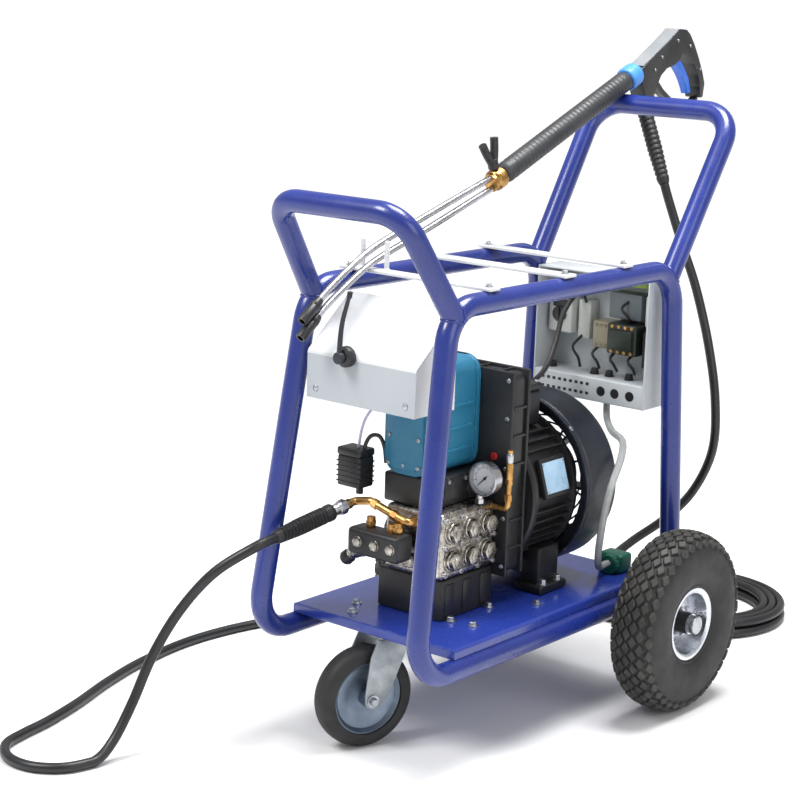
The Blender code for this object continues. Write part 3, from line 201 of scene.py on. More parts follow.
def make_materials():
    paint("frame_blue", "blue_frame", (0.0085, 0.0205, 0.165), (0.0110, 0.0265, 0.200), 0.30, bump=0.02,
          coat=0.3)
    # The deck's blue is the frame's blue made lighter: painted sheen for the glare on the deck; its chipped
    # edges are wear.
    paint("deck_blue_painted_sheen", "blue_frame", (0.014, 0.032, 0.230), (0.018, 0.040, 0.270), 0.24, bump=0.03, coat=0.3,
          blotch=4, worn=(0.08, 0.11, 0.36))
    paint("teal_paint", "teal_paint", (0.014, 0.135, 0.240), (0.019, 0.165, 0.285), 0.42, 260, 0.3,
          worn=(0.05, 0.30, 0.42))
    paint("white_sheet", "white_sheet", (0.58, 0.595, 0.605), (0.62, 0.63, 0.64), 0.34, coat=0.15, blotch=5,
          worn=(0.55, 0.56, 0.57))
    # Darker grey copy of the white sheet: painted shade for the console's upright apron, which is the same
    # white sheet in shadow.
    paint("white_sheet_painted_shade", "white_sheet", (0.36, 0.39, 0.42), (0.39, 0.42, 0.45), 0.38, blotch=5,
          worn=(0.30, 0.31, 0.32))
    paint("black_paint", "black_paint", (0.0065, 0.0065, 0.0075), (0.013, 0.013, 0.015), 0.42, 320, 0.25,
          worn=(0.05, 0.05, 0.05))
    paint("cowl_paint", "black_paint", (0.008, 0.010, 0.016), (0.015, 0.019, 0.028), 0.36, 500, 0.15,
          worn=(0.06, 0.07, 0.09))
    paint("plate_blue", "blue_plastic", (0.30, 0.46, 0.62), (0.38, 0.54, 0.70), 0.30, blotch=30)
    paint("dial_white", "white_sheet", (0.62, 0.63, 0.68), (0.70, 0.71, 0.75), 0.4, blotch=60)
    paint("red_mark", "blue_plastic", (0.45, 0.010, 0.012), (0.55, 0.02, 0.02), 0.4)
    metal("nickel", "nickel", (0.56, 0.53, 0.48), (0.13, 0.11, 0.09), 0.26, 75, 420, 0.35)
    metal("zinc", "zinc", (0.50, 0.52, 0.55), (0.34, 0.36, 0.38), 0.34, 60)
    metal("fork_zinc", "zinc", (0.36, 0.39, 0.41), (0.27, 0.295, 0.31), 0.45, 25, bump=0.08)
    metal("caster_disc", "zinc", (0.24, 0.29, 0.36), (0.16, 0.20, 0.26), 0.42, 18, bump=0.06)
    metal("rim_silver", "steel", (0.70, 0.72, 0.76), (0.50, 0.52, 0.57), 0.24, 18, bump=0.06)
    metal("steel", "steel", (0.60, 0.60, 0.62), (0.46, 0.46, 0.48), 0.26, 12, 700, 0.05)
    metal("brass", "brass", (0.62, 0.36, 0.12), (0.30, 0.15, 0.05), 0.30, 55, 380, 0.2)
    moulded("tyre_rubber", "rubber", (0.0075, 0.0075, 0.0085), (0.0130, 0.0130, 0.0140), 0.62,
            dust=(0.026, 0.025, 0.022))
    moulded("lug_rubber", "rubber", (0.014, 0.014, 0.014), (0.026, 0.025, 0.023), 0.60,
            dust=(0.088, 0.083, 0.068))
    moulded("rubber", "rubber", (0.008, 0.008, 0.009), (0.014, 0.014, 0.015), 0.50)
    moulded("hose_rubber", "rubber", (0.007, 0.007, 0.008), (0.013, 0.014, 0.016), 0.38, 900, 0.2)
    moulded("black_plastic", "black_plastic", (0.008, 0.008, 0.009), (0.015, 0.015, 0.017), 0.40)
    moulded("gun_grey", "grey_plastic", (0.16, 0.17, 0.18), (0.22, 0.23, 0.24), 0.34)
    moulded("light_blue", "blue_plastic", (0.050, 0.215, 0.610), (0.070, 0.270, 0.700), 0.32)
    moulded("trigger_blue", "blue_plastic", (0.012, 0.110, 0.560), (0.020, 0.150, 0.680), 0.30)
    moulded("conduit_grey", "grey_plastic", (0.26, 0.27, 0.27), (0.33, 0.34, 0.34), 0.42)
    moulded("beige", "grey_plastic", (0.26, 0.23, 0.165), (0.31, 0.28, 0.20), 0.45)
    moulded("dark_green", "green_plastic", (0.012, 0.018, 0.014), (0.020, 0.030, 0.022), 0.40)
    moulded("lime", "green_plastic", (0.24, 0.36, 0.06), (0.33, 0.46, 0.10), 0.40)
    moulded("fitting_green", "green_plastic", (0.004, 0.090, 0.060), (0.008, 0.140, 0.090), 0.38)
    moulded("switch_white", "grey_plastic", (0.46, 0.48, 0.45), (0.54, 0.56, 0.53), 0.36)
    moulded("lavender", "grey_plastic", (0.45, 0.42, 0.62), (0.60, 0.57, 0.74), 0.35)
    moulded("sleeve_rubber", "rubber", (0.020, 0.021, 0.023), (0.032, 0.033, 0.036), 0.46, 1000, 0.2)
    moulded("case_grey", "grey_plastic", (0.44, 0.47, 0.49), (0.52, 0.55, 0.57), 0.36)
    moulded("slate", "grey_plastic", (0.085, 0.105, 0.115), (0.115, 0.135, 0.145), 0.40)
    glow_far_away(moulded("pale_floor", None, (0.82, 0.82, 0.82), (0.83, 0.83, 0.83), 0.9, 30, 0.0))


make_materials()


# ---------------------------------------------------------------- mesh helpers
RIGHT = Vector((1, 0, 0))
REAR = Vector((0, 1, 0))
FRONT = Vector((0, -1, 0))
UP = Vector((0, 0, 1))
SEAM = 0.0003                    # clearance between parts that touch


def piece(name, bm, finish, body="trolley", nodes=(), smooth=32):
    """Turn a mesh into a named object that rides on a body and may stand for CAD nodes."""
    bmesh.ops.remove_doubles(bm, verts=bm.verts, dist=1e-6)
    bmesh.ops.recalc_face_normals(bm, faces=bm.faces)
    mesh = bpy.data.meshes.new(name)
    bm.to_mesh(mesh)
    bm.free()
    mesh.shade_smooth()
    mesh.set_sharp_from_angle(angle=radians(smooth))
    obj = bpy.data.objects.new(name, mesh)
    bpy.context.scene.collection.objects.link(obj)
    return dress(obj, finish, body, nodes)


def dress(obj, finish, body, nodes=()):
    obj.data.materials.append(MATERIALS[finish])
    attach(obj, body)
    if nodes:
        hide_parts(*nodes)
    return obj


def circle(radius, count, height=0.0, start=0.0):
    """Evenly spaced points on a level circle."""
    angles = [start + 2 * pi * k / count for k in range(count)]
    return [Vector((radius * cos(angle), radius * sin(angle), height)) for angle in angles]


def spoke(angle):
    """Unit vector at an angle from +X towards +Z."""
    return Vector((cos(angle), 0, sin(angle)))


def mirrored(point):
    return Vector((-point.x, point.y, point.z))


def aim(centre, direction):
    """Local +Z points along the direction, at the centre."""
    turn = Vector(direction).normalized().to_track_quat("Z", "Y").to_matrix().to_4x4()
    return Matrix.Translation(centre) @ turn


def add_rings(bm, rings, closed):
    """Faces between rings of vertices, where a ring may be a single point."""
    steps = max(len(ring) for ring in rings)
    pairs = list(zip(rings, rings[1:]))
    if closed:
        pairs.append((rings[-1], rings[0]))
    for low, high in pairs:
        for i in range(steps):
            j = (i + 1) % steps
            corners = [low[i % len(low)], low[j % len(low)], high[j % len(high)], high[i % len(high)]]
            bm.faces.new(list(dict.fromkeys(corners)))


def add_lathe(bm, profile, centre, direction, steps=40, closed=False):
    """Turn (radius, height) points about the direction; a closed profile makes a ring."""
    place = aim(centre, direction)
    rings = []
    for radius, height in profile:
        spots = circle(radius, steps, height) if radius else [Vector((0, 0, height))]
        rings.append([bm.verts.new(place @ spot) for spot in spots])
    add_rings(bm, rings, closed)


def lathe(profile, centre, direction, steps=40, closed=False):
    bm = bmesh.new()
    add_lathe(bm, profile, centre, direction, steps, closed)
    return bm


def soft_profile(points, radius, steps=3):
    """Round the inner corners of an open (radius, height) profile."""
    path = [Vector((r, h, 0)) for r, h in points]
    out = [points[0]]
    for before, corner, after in zip(path, path[1:], path[2:]):
        back = before - corner
        ahead = after - corner
        reach = min(radius, back.length * 0.45, ahead.length * 0.45)
        start = corner + back.normalized() * reach
        end = corner + ahead.normalized() * reach
        for k in range(steps + 1):
            t = k / steps
            p = start * (1 - t) ** 2 + corner * 2 * t * (1 - t) + end * t ** 2
            out.append((max(p.x, 0.0), p.y))
    return out + [points[-1]]


def disc(radius, low, high, edge=0.0):
    """Profile of a plain cylinder between two heights, with its edges softened if asked."""
    profile = [(0, low), (radius, low), (radius, high), (0, high)]
    return soft_profile(profile, edge) if edge else profile


def add_box(bm, low, high, bevel=0.0, segments=2):
    size = Vector(high) - Vector(low)
    centre = (Vector(high) + Vector(low)) / 2
    made = bmesh.ops.create_cube(bm, size=1, matrix=Matrix.Translation(centre) @ Matrix.Diagonal((*size, 1)))
    if bevel:
        edges = list(dict.fromkeys(e for v in made["verts"] for e in v.link_edges))
        bmesh.ops.bevel(bm, geom=edges, offset=min(bevel, min(size) * 0.45), segments=segments,
                        affect="EDGES", profile=0.5)


def boxes(name, finish, *sizes, nodes=()):
    """A piece of boxes, each with two corners from the deck's zero line, a bevel and its steps."""
    bm = bmesh.new()
    for low, high, bevel, steps in sizes:
        add_box(bm, at(*low), at(*high), bevel, steps)
    return piece(name, bm, finish, nodes=nodes)


def rectangle(half_a, half_b):
    return [(-half_a, -half_b), (half_a, -half_b), (half_a, half_b), (-half_a, half_b)]


def add_prism(bm, outline, origin, u, v, w, length, bevel=0.0):
    """Extrude an outline of (u, v) points along w."""
    u, v, w, origin = Vector(u), Vector(v), Vector(w), Vector(origin)
    bottom = [bm.verts.new(origin + u * a + v * b) for a, b in outline]
    top = [bm.verts.new(origin + u * a + v * b + w * length) for a, b in outline]
    faces = [bm.faces.new(bottom), bm.faces.new(top)]
    count = len(outline)
    for i in range(count):
        j = (i + 1) % count
        bm.faces.new([bottom[i], bottom[j], top[j], top[i]])
    if bevel:
        edges = list(dict.fromkeys(e for f in faces for e in f.edges))
        bmesh.ops.bevel(bm, geom=edges, offset=bevel, segments=2, affect="EDGES", profile=0.5,
                        clamp_overlap=True)


def rounded_path(corners, radius, steps=8, cyclic=False):
    """Replace each corner of a path by an arc."""
    points = [Vector(c) for c in corners]
    count = len(points)
    path = []
    for i, corner in enumerate(points):
        if not cyclic and i in (0, count - 1):
            path.append(corner)
            continue
        back = (points[i - 1] - corner).normalized()
        ahead = (points[(i + 1) % count] - corner).normalized()
        half = back.angle(ahead) / 2
        reach = radius * cos(half) / sin(half)
        centre = corner + (back + ahead).normalized() * (radius / sin(half))
        first = (corner + back * reach - centre).normalized()
        last = (corner + ahead * reach - centre).normalized()
        for k in range(steps + 1):
            path.append(centre + first.slerp(last, k / steps) * radius)
    return path


def rounded_outline(corners, radius, steps):
    """The same for a closed outline of flat (a, b) points."""
    return [(p.x, p.y) for p in rounded_path([(a, b, 0) for a, b in corners], radius, steps, True)]


def smooth_route(points, spacing):
    """Points at an even spacing on a smooth curve through the route's own points."""
    route = [Vector(p) for p in points]
    route = [route[0] * 2 - route[1]] + route + [route[-1] * 2 - route[-2]]
    path = [route[1]]
    for a, b, c, d in zip(route, route[1:], route[2:], route[3:]):
        pieces = max(1, ceil((c - b).length / spacing))
        for k in range(1, pieces + 1):
            t = k / pieces
            path.append(0.5 * (2 * b + (c - a) * t + (2 * a - 5 * b + 4 * c - d) * t ** 2
                               + (3 * b - a - 3 * c + d) * t ** 3))
    return path


def add_tube(bm, path, radius, sides=20, cyclic=False):
    """A round tube along a path; the radius may be a number or one for each point."""
    count = len(path)
    radii = radius if isinstance(radius, list) else [radius] * count
    rings = []
    normal = None
    for i, point in enumerate(path):
        before = path[i - 1] if (i or cyclic) else point
        after = path[(i + 1) % count] if (i < count - 1 or cyclic) else point
        tangent = (after - before).normalized()
        if normal is None:
            normal = tangent.orthogonal()
        normal = (normal - tangent * normal.dot(tangent)).normalized()
        side = tangent.cross(normal)
        rings.append([bm.verts.new(point + radii[i] * (normal * spot.x + side * spot.y))
                      for spot in circle(1, sides)])
    add_rings(bm, rings, cyclic)
    if not cyclic:
        bm.faces.new(rings[0])
        bm.faces.new(rings[-1])


def tube(path, radius, sides=20, cyclic=False):
    bm = bmesh.new()
    add_tube(bm, path, radius, sides, cyclic)
    return bm


def add_ridges(bm, centre, way, radius, count, low, high, thick):
    """Thin raised bars round a knob or collar, between two heights."""
    turn = aim(centre, way)
    for a, b in zip(circle(radius, count, low), circle(radius, count, high)):
        add_tube(bm, [turn @ a, turn @ b], thick, 8)


def add_bolt(bm, place, direction, size=0.006):
    """Hexagon head on a washer; size is half the width across corners."""
    way = Vector(direction).normalized()
    start = Vector(place)
    add_lathe(bm, disc(size * 1.5, 0, size * 0.25), start, way, 20)
    head = [(0, 0), (size, 0), (size, size * 0.8), (size * 0.82, size), (0, size)]
    add_lathe(bm, head, start + way * size * 0.25, way, 6)


def add_cap_screw(bm, place, direction, size):
    """Round socket head with its hexagon recess."""
    profile = [(0, size * 0.5), (size * 0.5, size * 0.5), (size * 0.55, size * 1.0),
               (size * 0.9, size * 1.0),
               (size, size * 0.85), (size, 0), (0, 0)]
    add_lathe(bm, profile, place, direction, 18)


def screws(name, places, direction, size, finish="zinc", add=add_cap_screw, smooth=32):
    """One piece of equal screws or bolts at their places."""
    bm = bmesh.new()
    for place in places:
        add(bm, place, direction, size)
    return piece(name, bm, finish, smooth=smooth)


def bolts(name, places, direction, size):
    return screws(name, places, direction, size, add=add_bolt, smooth=25)


# ---------------------------------------------------------------- hose
HOSE_D = 0.016
FLOOR_Z = HOSE_D / 2 + 0.0005
OUTLET = at(-0.088, -0.262, 0.362)
OUTLET_WAY = Vector((-0.12, -0.975, -0.19)).normalized()
SWIVEL_LENGTH = 0.028
OUTLET_SLEEVE = 0.115
GUN_SLEEVE = 0.150
SLEEVE_REAR = at(-0.085, 0.452, 0.993)
SLEEVE_FRONT = at(-0.085, 0.105, 0.851)
SLEEVE_WAY = (SLEEVE_FRONT - SLEEVE_REAR).normalized()
SLEEVE_UP = Vector((0, SLEEVE_WAY.z, -SLEEVE_WAY.y))
GUN_BASE = SLEEVE_REAR - SLEEVE_WAY * SEAM
GUN_PORT = GUN_BASE + Vector((0, 0.058, -0.0405))
GUN_PORT_WAY = Vector((0.40, -0.05, -0.915)).normalized()
COIL_CENTRE = at(0.005, 0.650, 0)
COIL_IN = 0.121
COIL_OUT = 0.167


def coil_route():
    """Turns wound on the floor from the outside in, then back out on a second layer."""
    low_turns = 2.75
    all_turns = 5.75
    per_turn = 16
    points = []
    for k in range(round(all_turns * per_turn) + 1):
        turns = k / per_turn
        angle = -pi / 2 + turns * 2 * pi
        if turns <= low_turns:
            radius = COIL_OUT - (COIL_OUT - COIL_IN) * turns / low_turns
        else:
            radius = COIL_IN + (COIL_OUT - COIL_IN) * (turns - low_turns) / (all_turns - low_turns)
        lift = min(1, max(0, (turns - low_turns + 0.12) / 0.24))
        height = FLOOR_Z + lift * (HOSE_D + 0.0004)
        points.append(COIL_CENTRE + Vector((radius * cos(angle), radius * sin(angle), height)))
    return points


def hose_route():
    """From the outlet over the floor loop and under the deck, through the coil and up to the gun."""
    start = OUTLET + OUTLET_WAY * (SWIVEL_LENGTH + OUTLET_SLEEVE + SEAM)
    hanging = [(-0.150, -0.486, 0.288), (-0.198, -0.510, 0.222), (-0.228, -0.536, 0.150),
               (-0.240, -0.564, 0.082), (-0.242, -0.602, 0.030)]
    lying = [(-0.2420, -0.6400), (-0.2573, -0.6870), (-0.2973, -0.7161), (-0.3467, -0.7161),
             (-0.3867, -0.6870),
             (-0.4020, -0.6400), (-0.4140, -0.5800), (-0.4400, -0.4950), (-0.476, -0.400), (-0.508, -0.290),
             (-0.526, -0.160), (-0.512, -0.030), (-0.466, 0.100), (-0.412, 0.210), (-0.346, 0.312),
             (-0.262, 0.398), (-0.168, 0.452), (-0.080, 0.476)]
    rising = [(-0.150, 0.598, 0.042), (-0.130, 0.552, 0.068), (-0.098, 0.512, 0.108), (-0.040, 0.495, 0.160),
              (0.030, 0.488, 0.218), (0.086, 0.484, 0.282), (0.120, 0.482, 0.362), (0.119, 0.482, 0.450),
              (0.096, 0.486, 0.545), (0.060, 0.492, 0.640), (0.022, 0.497, 0.715)]
    end = GUN_PORT + GUN_PORT_WAY * (GUN_SLEEVE + SEAM)
    return ([start, start + OUTLET_WAY * 0.040] + [at(*p) for p in hanging]
            + [at(x, y, FLOOR_Z) for x, y in lying] + coil_route()
            + [at(*p) for p in rising] + [end + GUN_PORT_WAY * 0.030, end])


def make_hose():
    route = hose_route()
    path = smooth_route(route, 0.012)
    for point in path:
        point.z = max(point.z, FLOOR_Z)
    curve = bpy.data.curves.new("high_pressure_hose", "CURVE")
    curve.dimensions = "3D"
    curve.bevel_depth = HOSE_D / 2
    curve.bevel_resolution = 5
    curve.use_fill_caps = True
    spline = curve.splines.new("POLY")
    spline.points.add(len(path) - 1)
    for place, point in zip(spline.points, path):
        place.co = (*point, 1)
    spline.use_smooth = True
    hose = bpy.data.objects.new("high_pressure_hose", curve)
    bpy.context.scene.collection.objects.link(hose)
    dress(hose, "hose_rubber", "trolley", ("hose_front", "hose_coil", "hose_rear"))


make_hose()


# ---------------------------------------------------------------- frame
TUBE_R = 0.017
RING_BEND = 0.062
RAIL_Z = 0.164
RACK_Z = 0.705
BOTTOM_X = 0.158
TOP_X = 0.134
FOOT_Y = (-0.385, 0.302)
HEAD_Y = (-0.304, 0.290)
BEAD_R = 0.0024


def ring_path(side):
    corners = [at(side * BOTTOM_X, FOOT_Y[0], RAIL_Z), at(side * TOP_X, HEAD_Y[0], RACK_Z),
               at(side * TOP_X, HEAD_Y[1], RACK_Z), at(side * BOTTOM_X, FOOT_Y[1], RAIL_Z)]
    return rounded_path(corners, RING_BEND, 10, True)


def distance_to_path(point, path):
    nearest = 1.0
    for a, b in zip(path, path[1:] + path[:1]):
        along = b - a
        t = min(1, max(0, (point - a).dot(along) / along.length_squared))
        nearest = min(nearest, (point - a - along * t).length)
    return nearest


def add_weld(bm, start, way, ring):
    """Bead along the line where a leg leaves the ring's tube."""
    turn = aim(start, way)
    seam = []
    for spot in circle(TUBE_R, 36):
        heights = [step * 0.001 for step in range(70)]
        inside = [h for h in heights if distance_to_path(turn @ (spot + UP * h), ring) <= TUBE_R]
        seam.append(turn @ (spot + UP * max(inside, default=0.0)))
    thick = [BEAD_R * random.uniform(0.8, 1.2) for _ in seam]
    add_tube(bm, seam, thick, 10, cyclic=True)


def make_handle(name, head_y, bar, bend):
    head = at(TOP_X, head_y, RACK_Z)
    corner = at(*bar)
    way = (corner - head).normalized()
    start = head - way * RING_BEND * 0.37
    bm = tube(rounded_path([start, corner, mirrored(corner), mirrored(start)], bend, 12), TUBE_R, 28)
    add_weld(bm, start, way, ring_path(1))
    add_weld(bm, mirrored(start), mirrored(way), ring_path(-1))
    piece(name + "_hoop", bm, "frame_blue", nodes=(name,), smooth=50)


def make_frame():
    for name, side in (("right_ring_frame", 1), ("left_ring_frame", -1)):
        piece(name + "_tube", tube(ring_path(side), TUBE_R, 28, True), "frame_blue", nodes=(name,))
    make_handle("front_handle", HEAD_Y[0], (0.120, -0.398, 0.845), 0.048)
    make_handle("rear_handle", HEAD_Y[1], (0.139, 0.449, 0.953), 0.055)


PLATE_X = 0.161
PLATE_Y = (-0.297, 0.238)
PLATE_Z = (0.1813, 0.197)
SHEET = 0.003
DECK_BOLTS = ((-0.062, -0.268), (-0.086, -0.230), (0.112, -0.187), (-0.100, -0.050), (0.118, -0.030))


def bent_sheet(corners, radius, thick):
    """Outline of a sheet of even thickness that follows the corners and stays on their right side."""
    centre = rounded_path([(a, b, 0) for a, b in corners], radius, 5)
    inner = []
    for i, point in enumerate(centre):
        way = (centre[min(i + 1, len(centre) - 1)] - centre[max(i - 1, 0)]).normalized()
        inner.append((point.x + way.y * thick, point.y - way.x * thick))
    return [(point.x, point.y) for point in centre] + inner[::-1]


def make_deck():
    outline = bent_sheet([(-PLATE_X, PLATE_Z[0]), (-PLATE_X, PLATE_Z[1]), (PLATE_X, PLATE_Z[1]),
                          (PLATE_X, PLATE_Z[0])], 0.006, SHEET)
    bm = bmesh.new()
    length = PLATE_Y[1] - PLATE_Y[0] - 0.002
    add_prism(bm, outline, at(0, PLATE_Y[0] + 0.002, 0), RIGHT, UP, REAR, length)
    add_box(bm, at(-PLATE_X + 0.002, PLATE_Y[0], PLATE_Z[0]),
            at(PLATE_X - 0.002, PLATE_Y[0] + SHEET, PLATE_Z[1] - SEAM), 0.0012)
    # The deck sheet is in the frame's blue made lighter: painted sheen.
    piece("deck_sheet", bm, "deck_blue_painted_sheen", nodes=("base_plate",))
    bolts("deck_bolts", [at(x, y, PLATE_Z[1]) for x, y in DECK_BOLTS], UP, 0.0055)
    boxes("axle_channel", "frame_blue", ((-0.128, 0.159, 0.128), (0.128, 0.209, 0.1935), 0.003, 2),
          nodes=("axle_bracket",))


# ---------------------------------------------------------------- rack bars and console
BAR_LOW = RACK_Z + TUBE_R + SEAM
BAR_TOP = BAR_LOW + 0.005
BARS = (("crossbar_front", -0.212, 0.026), ("crossbar_middle", -0.020, 0.030),
        ("crossbar_rear", 0.140, 0.026))
POSTS = (-0.109, -0.061)


def make_bars():
    """Three bars over the top rails; the front one has two posts that the lances lie between."""
    ends = []
    half = TOP_X + 0.012
    for name, y, width in BARS:
        bm = bmesh.new()
        add_box(bm, at(-half, y - width / 2, BAR_LOW), at(half, y + width / 2, BAR_TOP), 0.0014, 3)
        for x in POSTS if name == "crossbar_front" else ():
            add_lathe(bm, disc(0.004, 0, 0.045, 0.003), at(x, y, BAR_TOP), UP, 16)
            foot = [(0, 0), (0.007, 0), (0.005, 0.003), (0, 0.003)]
            add_lathe(bm, foot, at(x, y, BAR_TOP - SEAM), UP, 16)
        piece(name + "_bar", bm, "white_sheet", nodes=(name,))
        ends += [at(side * TOP_X, y, BAR_TOP) for side in (1, -1)]
    bolts("bar_bolts", ends, UP, 0.0045)


CONSOLE_X = (-0.1155, 0.095)
CONSOLE_FRONT = -0.326
CONSOLE_FOLD = 0.612
CONSOLE_LOW = 0.540
CONSOLE_BACK = (-0.232, 0.692)


def make_console():
    """Folded cover with its sloping top in white and its upright apron in a darker grey copy of the same
    white sheet, painted shade, and a cheek at each end.
    """
    left, right = CONSOLE_X
    back_y, back_z = CONSOLE_BACK
    fold = [(back_y, back_z - 0.0006), (CONSOLE_FRONT, CONSOLE_FOLD), (CONSOLE_FRONT, CONSOLE_LOW)]
    bm = bmesh.new()
    add_prism(bm, bent_sheet(fold, 0.009, -SHEET), at(left, 0, 0), REAR, UP, RIGHT, right - left)
    cover = piece("console_cover", bm, "white_sheet", nodes=("front_console",))
    cover.data.materials.append(MATERIALS["white_sheet_painted_shade"])
    # Faces below the fold take the darker grey copy of the white sheet: painted shade on the apron.
    for face in cover.data.polygons:
        if face.center.z < CONSOLE_FOLD - 0.006:
            face.material_index = 1
    cheek = [(CONSOLE_FRONT + 0.002, CONSOLE_LOW), (CONSOLE_FRONT + 0.002, CONSOLE_FOLD - 0.003),
             (back_y, back_z - 0.004), (back_y, CONSOLE_LOW)]
    bm = bmesh.new()
    for x in (left + 0.0004, right - SHEET - 0.0004):
        add_prism(bm, cheek, at(x, 0, 0), REAR, UP, RIGHT, SHEET, 0.0008)
    piece("console_cheeks", bm, "white_sheet")
    bm = bmesh.new()
    head = soft_profile([(0.0048, 0), (0.0048, 0.0014), (0, 0.0026)], 0.001)
    for x in (left + 0.018, right - 0.018):
        add_lathe(bm, head, at(x, CONSOLE_FRONT, 0.556), FRONT, 16)
    piece("console_screws", bm, "zinc")


LEVER_PIVOT = at(-0.034, CONSOLE_FRONT - SEAM, 0.614)
LEVER_ROUTE = ((0, 0.004), (0.004, 0.050), (0.0175, 0.097))


def make_bypass():
    base = soft_profile([(0, 0), (0.016, 0), (0.016, 0.010), (0.011, 0.016), (0, 0.016)], 0.002)
    bm = lathe(base, LEVER_PIVOT, FRONT, 32)
    piece("bypass_valve_base", bm, "black_plastic", nodes=("bypass_valve",))
    pivot = LEVER_PIVOT + FRONT * 0.0163
    bm = lathe(disc(0.009, 0, 0.010, 0.002), pivot, FRONT, 28)
    path = smooth_route([pivot + Vector((x, -0.005, z)) for x, z in LEVER_ROUTE], 0.006)
    add_tube(bm, path, [0.0042 - 0.0012 * k / len(path) for k in range(len(path))], 14)
    add_lathe(bm, disc(0.0042, -0.0055, 0.0045, 0.002), path[-1], (0.15, 0, 1), 14)
    piece("bypass_arm", bm, "cowl_paint", "lever", ("bypass_lever",))


# ---------------------------------------------------------------- wheels
WHEEL_R = 0.150
WHEEL_X = 0.246
WHEEL_Y = 0.184
LUG_ROWS = (-0.0330, -0.0225, -0.0112, 0.0, 0.0112, 0.0225, 0.0330)
LUGS_ROUND = 40
LUG = [(0.0098 * a, 0.0066 * b) for a, b in ((1, 0.12), (0.12, 1), (-0.12, 1), (-1, 0.12), (-1, -0.12),
                                             (-0.12, -1), (0.12, -1), (1, -0.12))]
TYRE_SIDE = [(0.0543, 0.0245), (0.0600, 0.0312), (0.0640, 0.0330), (0.0665, 0.0325), (0.0700, 0.0352),
             (0.0850, 0.0388), (0.1000, 0.0399), (0.1140, 0.0394), (0.1260, 0.0370), (0.1355, 0.0320),
             (0.1415, 0.0240), (0.1445, 0.0130), (0.1455, 0.0000)]

WHEEL_RIM = [(0.0103, -0.030), (0.017, -0.030), (0.017, -0.006), (0.046, -0.010), (0.050, -0.031),
             (0.060, -0.031), (0.060, -0.028), (0.054, -0.025), (0.054, 0.025), (0.060, 0.028),
             (0.060, 0.031),
             (0.0565, 0.0312), (0.051, 0.028), (0.0475, 0.010), (0.045, -0.001), (0.036, 0.003),
             (0.024, 0.0045), (0.020, 0.001), (0.017, 0.002), (0.017, 0.030), (0.0103, 0.030)]


def crown(across):
    """Radius of the tread at a distance from the tyre's middle plane."""
    for (r_out, w_out), (r_in, w_in) in zip(TYRE_SIDE[::-1], TYRE_SIDE[::-1][1:]):
        if w_out <= abs(across) <= w_in:
            t = (abs(across) - w_out) / (w_in - w_out)
            return r_out + (r_in - r_out) * t
    return TYRE_SIDE[-1][0]


def add_lug(bm, centre, angle, across):
    """Diamond block on the tread."""
    slope = (crown(abs(across) + 0.004) - crown(max(0, abs(across) - 0.004))) / 0.008
    slope = min(0, slope) * (1 if across > 0 else -1)
    around = Vector((0, -sin(angle), cos(angle)))
    outward = Vector((0, cos(angle), sin(angle)))
    normal = (outward - RIGHT * slope).normalized()
    side = around.cross(normal)
    seat = centre + RIGHT * across + outward * crown(across)
    rings = []
    for grow, height in ((1.12, -0.002), (1.0, 0.0026), (0.84, 0.0040)):
        rings.append([bm.verts.new(seat + normal * height + (around * a + side * b) * grow) for a, b in LUG])
    add_rings(bm, rings, False)
    bm.faces.new(rings[-1])
    bm.faces.new(rings[0])


def make_wheel(prefix, side):
    centre = at(side * WHEEL_X, WHEEL_Y, WHEEL_R)
    outward = (side, 0, 0)
    body = prefix + "_wheel"
    profile = [(r, -w) for r, w in TYRE_SIDE] + [(r, w) for r, w in TYRE_SIDE[-2::-1]]
    bm = lathe(profile, centre, RIGHT, 72, True)
    piece(prefix + "_tyre_carcass", bm, "tyre_rubber", body, (prefix + "_tyre",))
    bm = bmesh.new()
    for row, across in enumerate(LUG_ROWS):
        for k in range(LUGS_ROUND):
            add_lug(bm, centre, 2 * pi * (k + 0.5 * (row % 2)) / LUGS_ROUND, across)
    piece(prefix + "_tread_lugs", bm, "lug_rubber", body, smooth=20)
    bm = lathe(WHEEL_RIM, centre, outward, 64, True)
    piece(prefix + "_rim_pressing", bm, "rim_silver", body, (prefix + "_rim",), smooth=40)
    nuts = bmesh.new()
    vents = bmesh.new()
    for k in range(4):
        nut, vent = (Vector((side * 0.0028, radius * cos(angle), radius * sin(angle)))
                     for radius, angle in ((0.029, pi / 2 * k + 0.5), (0.033, pi / 2 * k + 0.5 + pi / 4)))
        add_bolt(nuts, centre + nut, outward, 0.0042)
        add_lathe(vents, disc(0.0052, 0, 0.0008), centre + vent, outward, 20)
    piece(prefix + "_rim_nuts", nuts, "zinc", body)
    piece(prefix + "_rim_vents", vents, "black_paint", body)
    cap = soft_profile([(0.0104, 0.0295), (0.0176, 0.0295), (0.0176, 0.004), (0.0215, 0.002)], 0.002)
    bm = lathe(cap + [(0.0170, 0.001), (0.0104, 0.001)], centre, outward, 32, True)
    piece(prefix + "_hub_sleeve", bm, "black_plastic", body)


def make_axle():
    half = [(0.010, 0.2763), (0.015, 0.2763), (0.015, 0.288), (0, 0.288)]
    profile = soft_profile([(r, -h) for r, h in half[::-1]] + half, 0.002)
    piece("axle_bar", lathe(profile, at(0, WHEEL_Y, WHEEL_R), RIGHT, 32), "zinc", nodes=("rear_axle",))


# ---------------------------------------------------------------- caster
CASTER_TURN = radians(70)
CASTER_AXIS = Vector((sin(CASTER_TURN), -cos(CASTER_TURN), 0))
TRAIL_WAY = Vector((CASTER_AXIS.y, -CASTER_AXIS.x, 0))
SWIVEL_Y = -0.250
CASTER_R = 0.080
TRAIL = 0.045
CASTER_CENTRE = at(0, SWIVEL_Y, CASTER_R) + TRAIL_WAY * TRAIL
FORK_TOP = 0.180
FORK_HALF = 0.028
FORK_EYE = ((0.013, 0.010), (0.0125, -0.004), (0.008, -0.011), (0, -0.0138), (-0.010, -0.0135),
            (-0.020, -0.004),
            (-0.030, 0.010))


